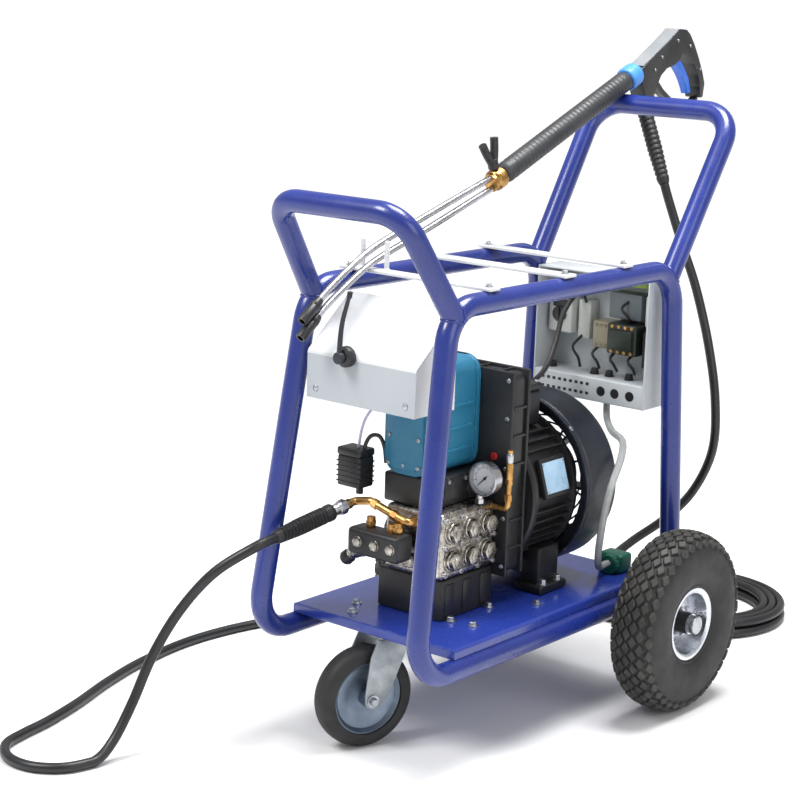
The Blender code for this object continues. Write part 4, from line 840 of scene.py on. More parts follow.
def make_caster():
    bm = bmesh.new()
    add_box(bm, at(-0.050, SWIVEL_Y - 0.043, 0.1897), at(0.050, SWIVEL_Y + 0.043, 0.1937), 0.001)
    race = soft_profile([(0, 0), (0.030, 0), (0.034, 0.007), (0.034, 0.010), (0, 0.010)], 0.002)
    add_lathe(bm, race, at(0, SWIVEL_Y, FORK_TOP + SEAM), UP, 40)
    piece("caster_mounting_plate", bm, "fork_zinc", nodes=("caster_plate",))
    bm = lathe(disc(0.034, 0, 0.008, 0.002), at(0, SWIVEL_Y, FORK_TOP - 0.008), UP, 40)
    outline = [(-0.022, FORK_TOP - 0.004), (0.038, FORK_TOP - 0.004), (0.050, 0.150)]
    outline += [(TRAIL + along, CASTER_R + up) for along, up in FORK_EYE]
    for offset in (FORK_HALF, -FORK_HALF - 0.003):
        face = at(0, SWIVEL_Y, 0) + CASTER_AXIS * offset
        add_prism(bm, outline, face, TRAIL_WAY, UP, CASTER_AXIS, 0.003, 0.0009)
    piece("caster_fork_pressing", bm, "fork_zinc", "caster_yoke", ("caster_fork",))
    head = FORK_HALF + 0.0033
    bm = lathe(disc(0.006, -head, head), CASTER_CENTRE, CASTER_AXIS, 20)
    for side in (1, -1):
        add_bolt(bm, CASTER_CENTRE + CASTER_AXIS * side * head, CASTER_AXIS * side, 0.0066)
    piece("caster_bolt", bm, "zinc", "caster_yoke", ("caster_axle",), smooth=25)
    half_rim = [(0.0063, 0.0277), (0.013, 0.0277), (0.013, 0.009), (0.020, 0.008), (0.034, 0.008),
                (0.038, 0.010),
                (0.050, 0.010), (0.0555, 0.016), (0.0575, 0.016)]
    rim = [(r, -w) for r, w in half_rim] + half_rim[::-1]
    bm = lathe(rim, CASTER_CENTRE, CASTER_AXIS, 56, True)
    piece("caster_rim_disc", bm, "caster_disc", "caster_roller", ("caster_rim",))
    half_tyre = [(0.0578, 0.0190), (0.0640, 0.0200), (0.0720, 0.0190), (0.0780, 0.0140), (0.0800, 0.0060)]
    tyre = soft_profile([(r, -w) for r, w in half_tyre] + half_tyre[::-1], 0.003, 2)
    bm = lathe(tyre, CASTER_CENTRE, CASTER_AXIS, 64, True)
    piece("caster_tyre_rubber", bm, "tyre_rubber", "caster_roller", ("caster_tyre",))


# ---------------------------------------------------------------- motor
DRIVE_X = -0.015
MOTOR = at(DRIVE_X, 0, 0.357)
MOTOR_Y = (-0.0315, 0.086)
MOTOR_R = 0.122
FIN_STEP = radians(8)
PLATE_ANGLE = radians(17)
COWL_R = 0.145
COWL_Y = (0.080, 0.172)


def around_motor(radius, angle, y):
    """Point at a radius and an angle (from +X towards +Z) round the motor's shaft."""
    return MOTOR + spoke(angle) * radius + REAR * y


def make_motor():
    """Finned barrel on two feet; no fins under the wiring box, at the feet or behind the nameplate."""
    length = MOTOR_Y[1] - MOTOR_Y[0]
    start = MOTOR + REAR * MOTOR_Y[0]
    barrel = [(0, 0.002), (0.060, 0.002), (0.064, 0.0), (0.118, 0.0), (MOTOR_R, 0.003), (MOTOR_R, 0.010),
              (0.1115, 0.013), (0.1115, length - 0.012), (MOTOR_R, length - 0.009),
              (MOTOR_R, length - 0.002),
              (0.118, length), (0, length)]
    bm = lathe(barrel, start, REAR, 72)
    fin = [(0.109, -0.0018), (0.1208, -0.0010), (0.1212, 0.0), (0.1208, 0.0010), (0.109, 0.0018)]
    for k in range(45):
        angle = k * FIN_STEP
        at_top = abs(angle - pi / 2) < radians(26)
        at_feet = abs(angle - pi * 3 / 2) < radians(18)
        at_plate = angle < radians(34)
        if not (at_top or at_feet or at_plate):
            add_prism(bm, fin, start + REAR * 0.009, spoke(angle), spoke(angle + pi / 2), REAR,
                      length - 0.018)
    for left, right in ((0.060, 0.115), (-0.115, -0.060)):
        left += DRIVE_X
        right += DRIVE_X
        add_box(bm, at(left, 0.006, PLATE_Z[1] + SEAM), at(right, 0.078, 0.212), 0.004, 3)
        add_box(bm, at(left + 0.004, 0.014, 0.208), at(right - 0.012, 0.070, 0.272), 0.005)
    piece("motor_barrel", bm, "black_paint", nodes=("motor_casing",), smooth=28)
    out_way = spoke(PLATE_ANGLE)
    up = spoke(PLATE_ANGLE + pi / 2)
    seat = around_motor(0.1115, PLATE_ANGLE, 0.030)
    bm = bmesh.new()
    add_prism(bm, rectangle(0.034, 0.032), seat, REAR, up, out_way, 0.0095, 0.002)
    piece("nameplate_pad", bm, "black_paint")
    bm = bmesh.new()
    add_prism(bm, rectangle(0.029, 0.025), seat + out_way * 0.0095, REAR, up, out_way, 0.0010, 0.0003)
    piece("nameplate", bm, "plate_blue")
    bm = bmesh.new()
    for a, b in rectangle(0.026, 0.022):
        place = seat + out_way * 0.0104 + REAR * a + up * b
        add_lathe(bm, [(0.0018, 0), (0.0014, 0.0010), (0, 0.0013)], place, out_way, 12)
    piece("nameplate_rivets", bm, "zinc")
    feet = [at(DRIVE_X + side * 0.106, y, 0.212) for side in (1, -1) for y in (0.022, 0.062)]
    bolts("motor_foot_bolts", feet, UP, 0.0062)


def make_cowl():
    """Open-ended shell with a wire grille over the fan and a ring that closes it to the motor."""
    wall = COWL_R - 0.003
    depth = COWL_Y[1] - COWL_Y[0]
    profile = [(wall, 0), (COWL_R, 0), (COWL_R, 0.004), (0.1435, 0.006), (0.1435, 0.010), (COWL_R, 0.012),
               (COWL_R, depth - 0.016), (0.1425, depth - 0.006), (0.136, depth - 0.0008), (0.100, depth),
               (0.100, depth - 0.003), (0.134, depth - 0.004), (wall - 0.002, depth - 0.012),
               (wall, depth - 0.018)]
    start = MOTOR + REAR * COWL_Y[0]
    bm = lathe(profile, start, REAR, 80, True)
    for ring in range(7):
        wire = [around_motor(0.026 + ring * 0.0112, 2 * pi * k / 60, COWL_Y[1] - 0.0018) for k in range(60)]
        add_tube(bm, wire, 0.0017, 8, cyclic=True)
    for k in range(8):
        angle = pi / 4 * (k + 0.5)
        add_tube(bm, [around_motor(radius, angle, COWL_Y[1] - 0.0034) for radius in (0.014, 0.102)], 0.0020,
                 8)
    add_lathe(bm, [(0.1228, 0.014), (wall, 0.014), (wall, 0.017), (0.1228, 0.017)], start, REAR, 80, True)
    add_lathe(bm, disc(0.019, 0, 0.004, 0.0015), MOTOR + REAR * (COWL_Y[1] - 0.0042), REAR, 28)
    piece("fan_cowl_shell", bm, "cowl_paint", nodes=("fan_cowl",), smooth=35)
    bm = bmesh.new()
    head = [(0.0046, -0.004), (0.0046, -0.0012), (0.0030, 0.0), (0, 0.0)]
    for k in range(4):
        angle = pi / 2 * (k + 0.5)
        add_lathe(bm, head, around_motor(COWL_R - 0.0002, angle, COWL_Y[0] + 0.008), spoke(angle), 14)
    piece("cowl_screws", bm, "zinc")


def make_terminal_box():
    boxes("terminal_box_case", "black_paint", ((-0.066, -0.030, 0.462), (0.040, 0.066, 0.519), 0.005, 3),
          ((-0.068, -0.032, 0.5185), (0.042, 0.0665, 0.532), 0.005, 3),
          ((-0.050, -0.016, 0.5315), (0.024, 0.050, 0.5335), 0.0015, 2), nodes=("terminal_box",))
    screws("terminal_box_screws", [at(x, y, 0.5315) for x in (-0.060, 0.034) for y in (-0.024, 0.059)], UP,
           0.0032)


# ---------------------------------------------------------------- gear housing and drive
def make_gear_housing():
    bm = bmesh.new()
    add_box(bm, at(-0.108, -0.078, 0.249), at(0.086, -0.034, 0.570), 0.012, 4)
    for low, high in ((-0.080, -0.073), (-0.039, -0.032)):
        add_box(bm, at(-0.112, low, 0.245), at(0.090, high, 0.574), 0.003)
    for z in (0.290, 0.335, 0.425, 0.470, 0.515):
        add_box(bm, at(0.083, -0.072, z - 0.0022), at(0.0895, -0.040, z + 0.0022), 0.001)
    for x in (-0.075, -0.030, 0.015, 0.060):
        add_box(bm, at(x - 0.0022, -0.072, 0.567), at(x + 0.0022, -0.040, 0.5735), 0.001)
    piece("gear_case", bm, "black_paint", nodes=("gear_housing",))
    places = [at(x, -0.079, z) for x in (-0.104, 0.082) for z in (0.262, 0.340, 0.420, 0.500, 0.560)]
    places += [at(x, -0.079, z) for x in (-0.050, 0.010) for z in (0.2525, 0.5665)]
    screws("gear_case_screws", places, FRONT, 0.0036)
    bm = lathe(disc(0.0062, 0, 0.004, 0.0012), at(0.060, -0.0798, 0.437), FRONT, 20)
    piece("oil_sight", bm, "red_mark")


MATERIAL_OF_KEPT = {"control_conduit": "conduit_grey", "motor_cable": "rubber",
                    "cooling_fan": "black_plastic",
                    "motor_rotor": "steel", "motor_pinion": "steel", "crank_gear": "steel",
                    "pump_crankshaft": "steel"}


def dress_kept_nodes():
    """Cables, fan, rotor, gears and crankshaft keep their CAD shapes, in real materials."""
    for node, finish in MATERIAL_OF_KEPT.items():
        kept = bpy.data.objects[node]
        kept.data.materials.clear()
        kept.data.materials.append(MATERIALS[finish])


# ---------------------------------------------------------------- pump
CRANKCASE_LOW = (-0.058, -0.213, 0.415)
CRANKCASE_HIGH = (0.028, -0.0803, 0.592)
MANIFOLD_LOW = (-0.045, -0.217, 0.262)
MANIFOLD_HIGH = (0.068, -0.081, 0.368)
PLUNGER_Y = (-0.190, -0.148, -0.106)


def rounded_rectangle(low, high, radius):
    return rounded_outline([low, (high[0], low[1]), high, (low[0], high[1])], radius, 6)


def make_crankcase():
    left, front, low = CRANKCASE_LOW
    right, rear, high = CRANKCASE_HIGH
    bm = bmesh.new()
    shape = rounded_rectangle((left + 0.003, low), (right - 0.003, high), 0.022)
    add_prism(bm, shape, at(0, front + 0.008, 0), RIGHT, UP, REAR, rear - front - 0.008, 0.003)
    rim = rounded_rectangle((left, low), (right, high), 0.024)
    for y in (front + 0.006, rear - 0.010):
        add_prism(bm, rim, at(0, y, 0), RIGHT, UP, REAR, 0.009, 0.0022)
    cover = rounded_rectangle((left + 0.008, low + 0.010), (right - 0.008, high - 0.012), 0.016)
    add_prism(bm, cover, at(0, front, 0), RIGHT, UP, REAR, 0.008, 0.003)
    for z in (low + 0.035, low + 0.070, low + 0.105):
        add_box(bm, at(right - 0.004, front + 0.020, z - 0.0025),
                at(right - 0.0004, rear - 0.014, z + 0.0025),
                0.0015)
    piece("crankcase_casting", bm, "teal_paint", nodes=("pump_crankcase",), smooth=40)
    edges = (left + 0.014, right - 0.014)
    places = [(x, z) for x in (edges[0], (left + right) / 2, edges[1]) for z in (low + 0.016, high - 0.018)]
    places += [(x, z) for z in (low + 0.060, low + 0.118) for x in edges]
    screws("crankcase_screws", [at(x, front + 0.001, z) for x, z in places], FRONT, 0.0030)
    cap = soft_profile([(0, 0), (0.012, 0), (0.012, 0.003), (0.0085, 0.004), (0.0085, 0.006), (0, 0.006)],
                       0.001)
    piece("oil_filler_cap", lathe(cap, at(-0.015, -0.165, high - 0.0004), UP, 28), "black_plastic")


def make_plunger_housing():
    bm = bmesh.new()
    add_box(bm, at(-0.056, -0.209, 0.3683), at(0.040, -0.0803, 0.4147), 0.004, 3)
    for y in PLUNGER_Y:
        add_lathe(bm, disc(0.015, -0.002, 0.004, 0.002), at(0.037, y, 0.3915), RIGHT, 28)
    piece("plunger_block", bm, "black_paint", nodes=("plunger_housing",))
    places = [at(0.039, y, 0.407) for y in (-0.198, -0.169, -0.127, -0.090)]
    screws("plunger_block_bolts", places, RIGHT, 0.0034, add=add_bolt)


def add_valve_cap(bm, place, way, radius, height):
    """Hexagon cap with a turned, domed top."""
    foot = soft_profile([(0, 0), (radius, 0), (radius, height * 0.3), (radius * 0.9, height * 0.36)], 0.001)
    flats = [(0, height * 0.3), (radius * 0.92, height * 0.3), (radius * 0.92, height * 0.82),
             (radius * 0.74, height * 0.92), (0, height * 0.92)]
    dome = soft_profile([(radius * 0.60, height * 0.9), (radius * 0.60, height * 0.98), (0, height)], 0.002)
    for profile, steps in ((foot, 32), (flats, 6), (dome, 24)):
        add_lathe(bm, profile, place, way, steps)


def make_manifold():
    """Block with a row of valve caps for each of the suction and delivery sides, on the pump's foot."""
    _, front, low = MANIFOLD_LOW
    right, _, high = MANIFOLD_HIGH
    middle_z = (low + high) / 2
    bm = bmesh.new()
    add_box(bm, at(*MANIFOLD_LOW), at(*MANIFOLD_HIGH), 0.009, 4)
    for y in PLUNGER_Y:
        for z in (middle_z + 0.022, middle_z - 0.022):
            add_lathe(bm, disc(0.0200, -0.004, 0.002, 0.0015), at(right, y, z), RIGHT, 32)
            add_valve_cap(bm, at(right + 0.001, y, z), RIGHT, 0.0160, 0.0148)
        add_lathe(bm, disc(0.014, -0.003, 0.0006, 0.001), at(-0.020, y, high - 0.0005), UP, 20)
    for x, z in ((-0.024, 0.290), (0.012, 0.286), (0.046, 0.292), (0.048, 0.334)):
        add_valve_cap(bm, at(x, front + 0.0035, z), FRONT, 0.0120, 0.0145)
    piece("manifold_casting", bm, "nickel", nodes=("pump_manifold",), smooth=30)
    places = [at(right - 0.0004, y, z) for y in (-0.208, -0.169, -0.127, -0.087)
              for z in (high - 0.010, middle_z, low + 0.010)]
    screws("manifold_screws", places, RIGHT, 0.0046, "steel")
    ribs = [((0.0645, y - 0.011, 0.2060), (0.0678, y + 0.011, 0.2540), 0.0015, 2) for y in (-0.190, -0.146,
                                                                                            -0.102)]
    boxes("pump_foot", "black_paint", ((-0.060, -0.211, 0.1973), (0.066, -0.0803, 0.2617), 0.003, 3), *ribs,
          nodes=("pump_base",))
    bolts("pump_foot_bolts", [at(0.074, y, 0.1975) for y in (-0.194, -0.098)], UP, 0.0058)


GAUGE = at(0.073, -0.128, 0.410)
GAUGE_R = 0.027
DIAL_START = radians(225)


def make_gauge():
    """Dial with plain ticks, long at every third, over the pointer's 270 degrees."""
    r = GAUGE_R
    case = [(0, 0.020), (r - 0.004, 0.020), (r - 0.001, 0.018), (r - 0.001, 0.007), (r, 0.006), (r, 0.001),
            (r - 0.001, 0.0), (r - 0.0032, 0.0), (r - 0.0042, 0.0030), (r - 0.0042, 0.0086), (0, 0.0086)]
    bm = lathe(case, GAUGE, REAR, 56)
    stem = (GAUGE.x - 0.012, GAUGE.y + 0.012, 0.3684)
    add_lathe(bm, disc(0.0058, 0, 0.020, 0.001), stem, UP, 20)
    add_lathe(bm, disc(0.0078, 0, 0.007), stem, UP, 6)
    piece("gauge_case", bm, "steel", nodes=("pressure_gauge",), smooth=35)
    piece("gauge_dial", lathe(disc(r - 0.0044, 0.0086, 0.0082), GAUGE, REAR, 48), "dial_white")
    bm = bmesh.new()
    for k in range(28):
        angle = DIAL_START - radians(10) * k
        half, reach = (0.0005, 0.0042) if k % 3 == 0 else (0.0003, 0.0024)
        add_prism(bm, [(-half, 0), (half, 0), (half, reach), (-half, reach)],
                  GAUGE + spoke(angle) * 0.0165 + REAR * 0.0079, spoke(angle + pi / 2), spoke(angle), REAR,
                  0.0002)
    piece("gauge_marks", bm, "black_plastic")
    pivot = GAUGE + REAR * 0.0077
    bm = bmesh.new()
    add_prism(bm, [(-0.0012, -0.0055), (0.0012, -0.0055), (0.0005, 0.0165), (-0.0005, 0.0165)], pivot,
              spoke(DIAL_START + pi / 2), spoke(DIAL_START), FRONT, 0.0009, 0.0001)
    add_lathe(bm, soft_profile([(0, 0), (0.0026, 0), (0.0022, 0.0014), (0, 0.0014)], 0.0004), pivot, FRONT,
              20)
    piece("gauge_hand", bm, "black_plastic", "pointer", ("gauge_pointer",))


def make_relief_valve():
    foot = at(0.099, -0.0925, 0.3605)
    path = rounded_path([at(0.0683, -0.0925, 0.3605), foot, foot + UP * 0.095], 0.009, 8)
    bm = tube(path, 0.0046, 20)
    for height, tall in ((0.014, 0.010), (0.040, 0.008)):
        add_lathe(bm, disc(0.0065, 0, tall), foot + UP * height, UP, 6)
    add_lathe(bm, disc(0.0062, 0, 0.026, 0.001), foot + UP * 0.048, UP, 24)
    piece("relief_valve_body", bm, "brass", nodes=("relief_valve",), smooth=30)
    tip = soft_profile([(0, 0), (0.0058, 0), (0.0058, 0.012), (0.003, 0.0205), (0, 0.0205)], 0.0015)
    piece("relief_valve_tip", lathe(tip, foot + UP * 0.0744, UP, 24), "steel")


UNLOADER_WAY = Vector((-0.75, 0, -0.66)).normalized()
UNLOADER = at(-0.056, -0.252, 0.306)


def make_unloader():
    bm = bmesh.new()
    add_box(bm, at(-0.075, -0.272, 0.292), at(0.026, -0.232, 0.334), 0.007, 4)
    add_lathe(bm, disc(0.013, 0, 0.014, 0.002), at(-0.010, -0.2319, 0.316), REAR, 24)
    piece("unloader_block", bm, "black_paint", nodes=("unloader_valve",))
    bm = bmesh.new()
    for x in (-0.052, -0.018, 0.013):
        add_valve_cap(bm, at(x, -0.2715, 0.314), FRONT, 0.0085, 0.0060)
    cone = [(0, 0.001), (0.0178, 0.001), (0.0178, 0.011), (0.0150, 0.013), (0.0150, 0.017), (0.0126, 0.019),
            (0.0126, 0.024), (0.0098, 0.030), (0.0098, 0.0338), (0, 0.0338)]
    add_lathe(bm, soft_profile(cone, 0.001, 2), UNLOADER, UNLOADER_WAY, 36)
    piece("unloader_cone", bm, "nickel", smooth=35)
    pivot = UNLOADER + UNLOADER_WAY * 0.0343
    knob = [(0, 0), (0.0105, 0), (0.0112, 0.004), (0.0112, 0.014), (0.009, 0.018), (0, 0.018)]
    bm = lathe(soft_profile(knob, 0.002), pivot, UNLOADER_WAY, 32)
    add_ridges(bm, pivot, UNLOADER_WAY, 0.0110, 12, 0.0045, 0.0135, 0.0010)
    piece("unloader_hand_knob", bm, "black_plastic", "unloader_adjuster", ("unloader_knob",))


def make_link():
    """Brass pipe from the manifold to the outlet with its nuts, three upright ports, and the swivel nut."""
    start = at(0.020, -0.2173, 0.351)
    corners = [start, at(0.020, -0.239, 0.351), at(-0.055, -0.241, 0.372), OUTLET - OUTLET_WAY * 0.022,
               OUTLET]
    bm = tube(rounded_path(corners, 0.009, 8), 0.0064, 24)
    slant = (-0.96, -0.02, 0.27)
    for place, way in ((start, FRONT), (at(-0.002, -0.2396, 0.3570), slant),
                       (at(-0.040, -0.2406, 0.3678), slant),
                       (OUTLET - OUTLET_WAY * 0.011, OUTLET_WAY)):
        add_lathe(bm, disc(0.0080, 0, 0.010), place, way, 6)
    for x, z in ((0.006, 0.334), (-0.006, 0.330), (-0.048, 0.334)):
        add_lathe(bm, disc(0.0070, 0, 0.016, 0.001), at(x, -0.246, z), UP, 20)
        add_lathe(bm, disc(0.0084, 0.003, 0.009), at(x, -0.246, z), UP, 6)
    piece("brass_pipework", bm, "brass", nodes=("brass_link",), smooth=30)
    swivel = [(0, SEAM), (0.0105, SEAM), (0.0105, 0.014), (0.0092, 0.016), (0.0092, 0.0278), (0, 0.0278)]
    bm = lathe(soft_profile(swivel, 0.001), OUTLET, OUTLET_WAY, 28)
    add_lathe(bm, disc(0.0120, 0.001, 0.0115), OUTLET, OUTLET_WAY, 6)
    piece("swivel_nut", bm, "steel", nodes=("outlet_swivel",), smooth=30)


def make_pressure_switch():
    bm = bmesh.new()
    add_box(bm, at(-0.127, -0.239, 0.384), at(-0.081, -0.203, 0.434), 0.004, 3)
    add_box(bm, at(-0.128, -0.240, 0.433), at(-0.080, -0.202, 0.446), 0.004, 3)
    add_lathe(bm, disc(0.006, 0, 0.010), at(-0.090, -0.226, 0.3745), UP, 6)
    for z in (0.392, 0.400, 0.408, 0.416, 0.424):
        add_box(bm, at(-0.1278, -0.2398, z - 0.001), at(-0.0804, -0.2022, z + 0.001), 0.0006)
    cable = [(-0.086, -0.222, 0.440), (-0.083, -0.222, 0.456), (-0.076, -0.218, 0.468),
             (-0.066, -0.211, 0.468),
             (-0.0605, -0.205, 0.452), (-0.0600, -0.200, 0.425)]
    add_tube(bm, smooth_route([at(*p) for p in cable], 0.004), 0.0032, 12)
    piece("pressure_switch_case", bm, "black_plastic", nodes=("pressure_switch",))
    wire = [(-0.098, -0.222, 0.4455), (-0.094, -0.222, 0.470), (-0.088, -0.220, 0.492),
            (-0.080, -0.214, 0.508),
            (-0.070, -0.206, 0.512)]
    piece("sense_line", tube(smooth_route([at(*p) for p in wire], 0.005), 0.0022, 12), "lavender")


# ---------------------------------------------------------------- control box
BOX_LOW = (-0.117, 0.262, 0.464)
BOX_HIGH = (0.110, 0.330, 0.684)
SHELF_Z = 0.505
BACK_Y = BOX_HIGH[1] - 0.003


def make_control_case():
    """Open-fronted box: back, sides, top and a deep sill with vents, lamps and cable glands."""
    left, front, low = BOX_LOW
    right, rear, high = BOX_HIGH
    in_left, in_right = left + 0.001, right - 0.001
    boxes("control_case", "case_grey", ((left, BACK_Y, low), BOX_HIGH, 0.0012, 2),
          ((left, front, low), (left + 0.003, rear - 0.0005, high), 0.0012, 2),
          ((right - 0.003, front, low), (right, rear - 0.0005, high), 0.0012, 2),
          ((in_left, front + 0.001, high - 0.003), (in_right, rear - 0.001, high), 0.0012, 2),
          ((in_left, front + 0.0004, low), (in_right, rear - 0.001, SHELF_Z), 0.003, 3),
          nodes=("control_box",))
    bm = bmesh.new()
    for k in range(9):
        x = left + 0.018 + k * 0.0115
        for z in (0.474, 0.490):
            add_box(bm, at(x, front - 0.0002, z), at(x + 0.0060, front + 0.002, z + 0.005), 0.0004)
    for x in (0.024, 0.052, 0.082):
        add_lathe(bm, disc(0.0085, -0.001, 0.0008, 0.0004), at(x, front + 0.0008, 0.484), FRONT, 24)
    piece("case_slots", bm, "black_plastic")
    bm = bmesh.new()
    neck = soft_profile([(0, 0.004), (0.007, 0.004), (0.006, 0.011), (0, 0.011)], 0.001)
    for x in (-0.098, -0.010, 0.020, 0.060):
        place = at(x, 0.292, SHELF_Z - 0.0005)
        add_lathe(bm, disc(0.0085, 0, 0.004), place, UP, 6)
        add_lathe(bm, neck, place, UP, 20)
    piece("case_glands", bm, "black_plastic")


def make_modules():
    """Devices on the box's back wall, from the switch on the left to the contactor on the right."""
    rear = BACK_Y + 0.001
    boxes("switch_module", "switch_white", ((-0.109, 0.2885, 0.568), (-0.061, rear, 0.632), 0.003, 3),
          ((-0.055, 0.300, 0.560), (-0.030, rear, 0.628), 0.003, 3))
    boxes("switch_label_window", "black_plastic", ((-0.100, 0.2875, 0.612), (-0.070, 0.290, 0.626), 0.001,
                                                   2))
    bm = bmesh.new()
    add_box(bm, at(-0.016, 0.288, 0.552), at(0.018, rear, 0.598), 0.003, 3)
    for z in (0.558, 0.592):
        for x in (-0.008, 0.001, 0.010):
            add_cap_screw(bm, at(x, 0.2885, z), FRONT, 0.0026)
    piece("relay_block", bm, "beige")
    boxes("contactor", "dark_green", ((0.020, 0.278, 0.548), (0.078, rear, 0.600), 0.003, 3),
          ((0.026, 0.272, 0.558), (0.072, 0.280, 0.590), 0.002, 2))
    bm = bmesh.new()
    for x in (0.030, 0.043, 0.056, 0.069):
        for z in (0.5525, 0.5955):
            add_lathe(bm, disc(0.0030, 0, 0.0012), at(x, 0.2785, z), FRONT, 14)
    piece("contactor_screws", bm, "brass")
    for name, finish, low, right, high, bevel in (
            ("timer_module", "slate", (0.010, 0.296, 0.606), 0.074, 0.650, 0.002),
            ("terminal_strip", "switch_white", (0.080, 0.300, 0.598), 0.096, 0.650, 0.002),
            ("cable_duct", "black_plastic", (0.086, 0.286, 0.530), 0.104, 0.592, 0.002),
            ("fuse_rail", "lime", (0.010, 0.290, 0.664), 0.088, 0.680, 0.0015)):
        boxes(name, finish, (low, (right, rear, high), bevel, 2))
    bm = bmesh.new()
    for x, low_z, high_z, bow in ((-0.046, 0.512, 0.566, 0.012), (-0.006, 0.515, 0.556, 0.010),
                                  (0.030, 0.515, 0.552, 0.008), (0.050, 0.600, 0.640, 0.014),
                                  (0.066, 0.515, 0.552, 0.010), (-0.040, 0.625, 0.668, 0.012)):
        route = [at(x, 0.300, low_z), at(x + bow * 0.5, 0.284, (low_z * 2 + high_z) / 3),
                 at(x - bow * 0.4, 0.282, (low_z + high_z * 2) / 3), at(x, 0.302, high_z)]
        add_tube(bm, smooth_route(route, 0.006), 0.0024, 10)
    piece("case_wiring", bm, "rubber")
    pivot = at(-0.085, 0.2877, 0.600)
    bm = lathe(soft_profile([(0, 0), (0.014, 0), (0.013, 0.0045), (0, 0.0045)], 0.001), pivot, FRONT, 32)
    add_box(bm, pivot + Vector((-0.0028, -0.0080, -0.0125)), pivot + Vector((0.0028, -0.003, 0.0125)),
            0.0012)
    piece("switch_rotary_knob", bm, "black_plastic", "switch_knob", ("main_switch",))


def make_inlet():
    bm = bmesh.new()
    add_box(bm, at(0.082, 0.194, 0.1973), at(0.128, 0.230, 0.230), 0.006, 3)
    cap = soft_profile([(0, 0), (0.016, 0), (0.016, 0.012), (0.013, 0.0125)], 0.002) + [(0, 0.0125)]
    centre = at(0.109, 0.184, 0.2135)
    add_lathe(bm, cap, centre, REAR, 32)
    for k in range(16):
        foot = centre + REAR * 0.002 + spoke(2 * pi * k / 16) * 0.0156
        add_tube(bm, [foot, foot + REAR * 0.008], 0.0013, 8)
    piece("inlet_fitting", bm, "fitting_green", nodes=("water_inlet",))


# ---------------------------------------------------------------- gun and lances
SLEEVE_R = 0.018
LANCE_X = -0.085
TUBE_APART = 0.011
LANCE_ROUTE = [(-0.100, 0.7845), (-0.212, 0.7500), (-0.268, 0.7235), (-0.318, 0.6945), (-0.345, 0.6750)]


def make_lance():
    """Ribbed sleeve, brass valve block with its forked knob, and two tubes with nozzle guards."""
    length = (SLEEVE_FRONT - SLEEVE_REAR).length
    r = SLEEVE_R
    profile = [(0, 0.0005), (r - 0.002, 0.0005), (r - 0.0006, 0.004)]
    for k in range(34):
        along = 0.014 + (length - 0.040) * k / 33
        profile += [(r - 0.0005, along - 0.0022), (r, along - 0.0008), (r, along + 0.0018),
                    (r - 0.0005, along + 0.0032)]
    profile += [(r, length - 0.012), (r - 0.001, length - 0.005), (r - 0.005, length), (0, length)]
    bm = lathe(profile, SLEEVE_REAR, SLEEVE_WAY, 44)
    piece("lance_grip_sleeve", bm, "sleeve_rubber", nodes=("lance_sleeve",), smooth=45)
    start = SLEEVE_FRONT + SLEEVE_WAY * SEAM
    block = [(0, 0), (0.012, 0), (0.012, 0.004), (0.018, 0.007), (0.018, 0.024), (0.0145, 0.027),
             (0.0145, 0.0335), (0, 0.0335)]
    bm = lathe(soft_profile(block, 0.001), start, SLEEVE_WAY, 32)
    for side in (1, -1):
        nut = start + SLEEVE_WAY * 0.024 + SLEEVE_UP * side * 0.0088
        add_lathe(bm, disc(0.0075, 0, 0.0094), nut, SLEEVE_WAY, 6)
    piece("valve_block_casting", bm, "brass", nodes=("lance_valve_block",), smooth=30)
    pivot = start + SLEEVE_WAY * 0.018 + SLEEVE_UP * 0.0193
    bm = lathe(disc(0.009, 0, 0.018, 0.0015), pivot, SLEEVE_UP, 28)
    for side in (1, -1):
        low = pivot + SLEEVE_UP * 0.013 + SLEEVE_WAY * (side * 0.004)
        high = low + SLEEVE_UP * 0.035 + SLEEVE_WAY * (side * 0.012)
        add_tube(bm, smooth_route([low, (low + high) / 2 + SLEEVE_WAY * side * 0.001, high], 0.004), 0.0069,
                 18)
    add_box(bm, pivot + Vector((-0.004, -0.008, 0.012)), pivot + Vector((0.004, 0.006, 0.034)), 0.002)
    piece("lance_fork_knob", bm, "black_plastic", "lance_knob", ("lance_valve_knob",))
    guard = [(0, 0), (0.0062, 0), (0.0068, 0.002), (0.0085, 0.010), (0.0085, 0.014), (0.0078, 0.0155),
             (0.0085, 0.017), (0.0085, 0.046), (0.0078, 0.048), (0.0052, 0.048), (0.0048, 0.036), (0, 0.036)]
    for name, apart, back in (("upper_lance", TUBE_APART, 0.012), ("lower_lance", -TUBE_APART, 0.008)):
        first = SLEEVE_FRONT + SLEEVE_WAY * 0.0348 + SLEEVE_UP * apart * 0.8
        path = smooth_route([first] + [at(LANCE_X, y, z + apart) for y, z in LANCE_ROUTE], 0.012)
        piece(name + "_pipe", tube(path, 0.0052, 20), "steel", nodes=(name,))
        way = (path[-1] - path[-3]).normalized()
        piece(name + "_guard", lathe(guard, path[-1] - way * back, way, 28), "black_plastic")


def mirrored_slab(outline, half, bevel):
    """Outline of (y, z) points made solid across the gun's middle plane."""
    bm = bmesh.new()
    add_prism(bm, outline, (LANCE_X - half, 0, 0), REAR, UP, RIGHT, half * 2, bevel)
    return bm


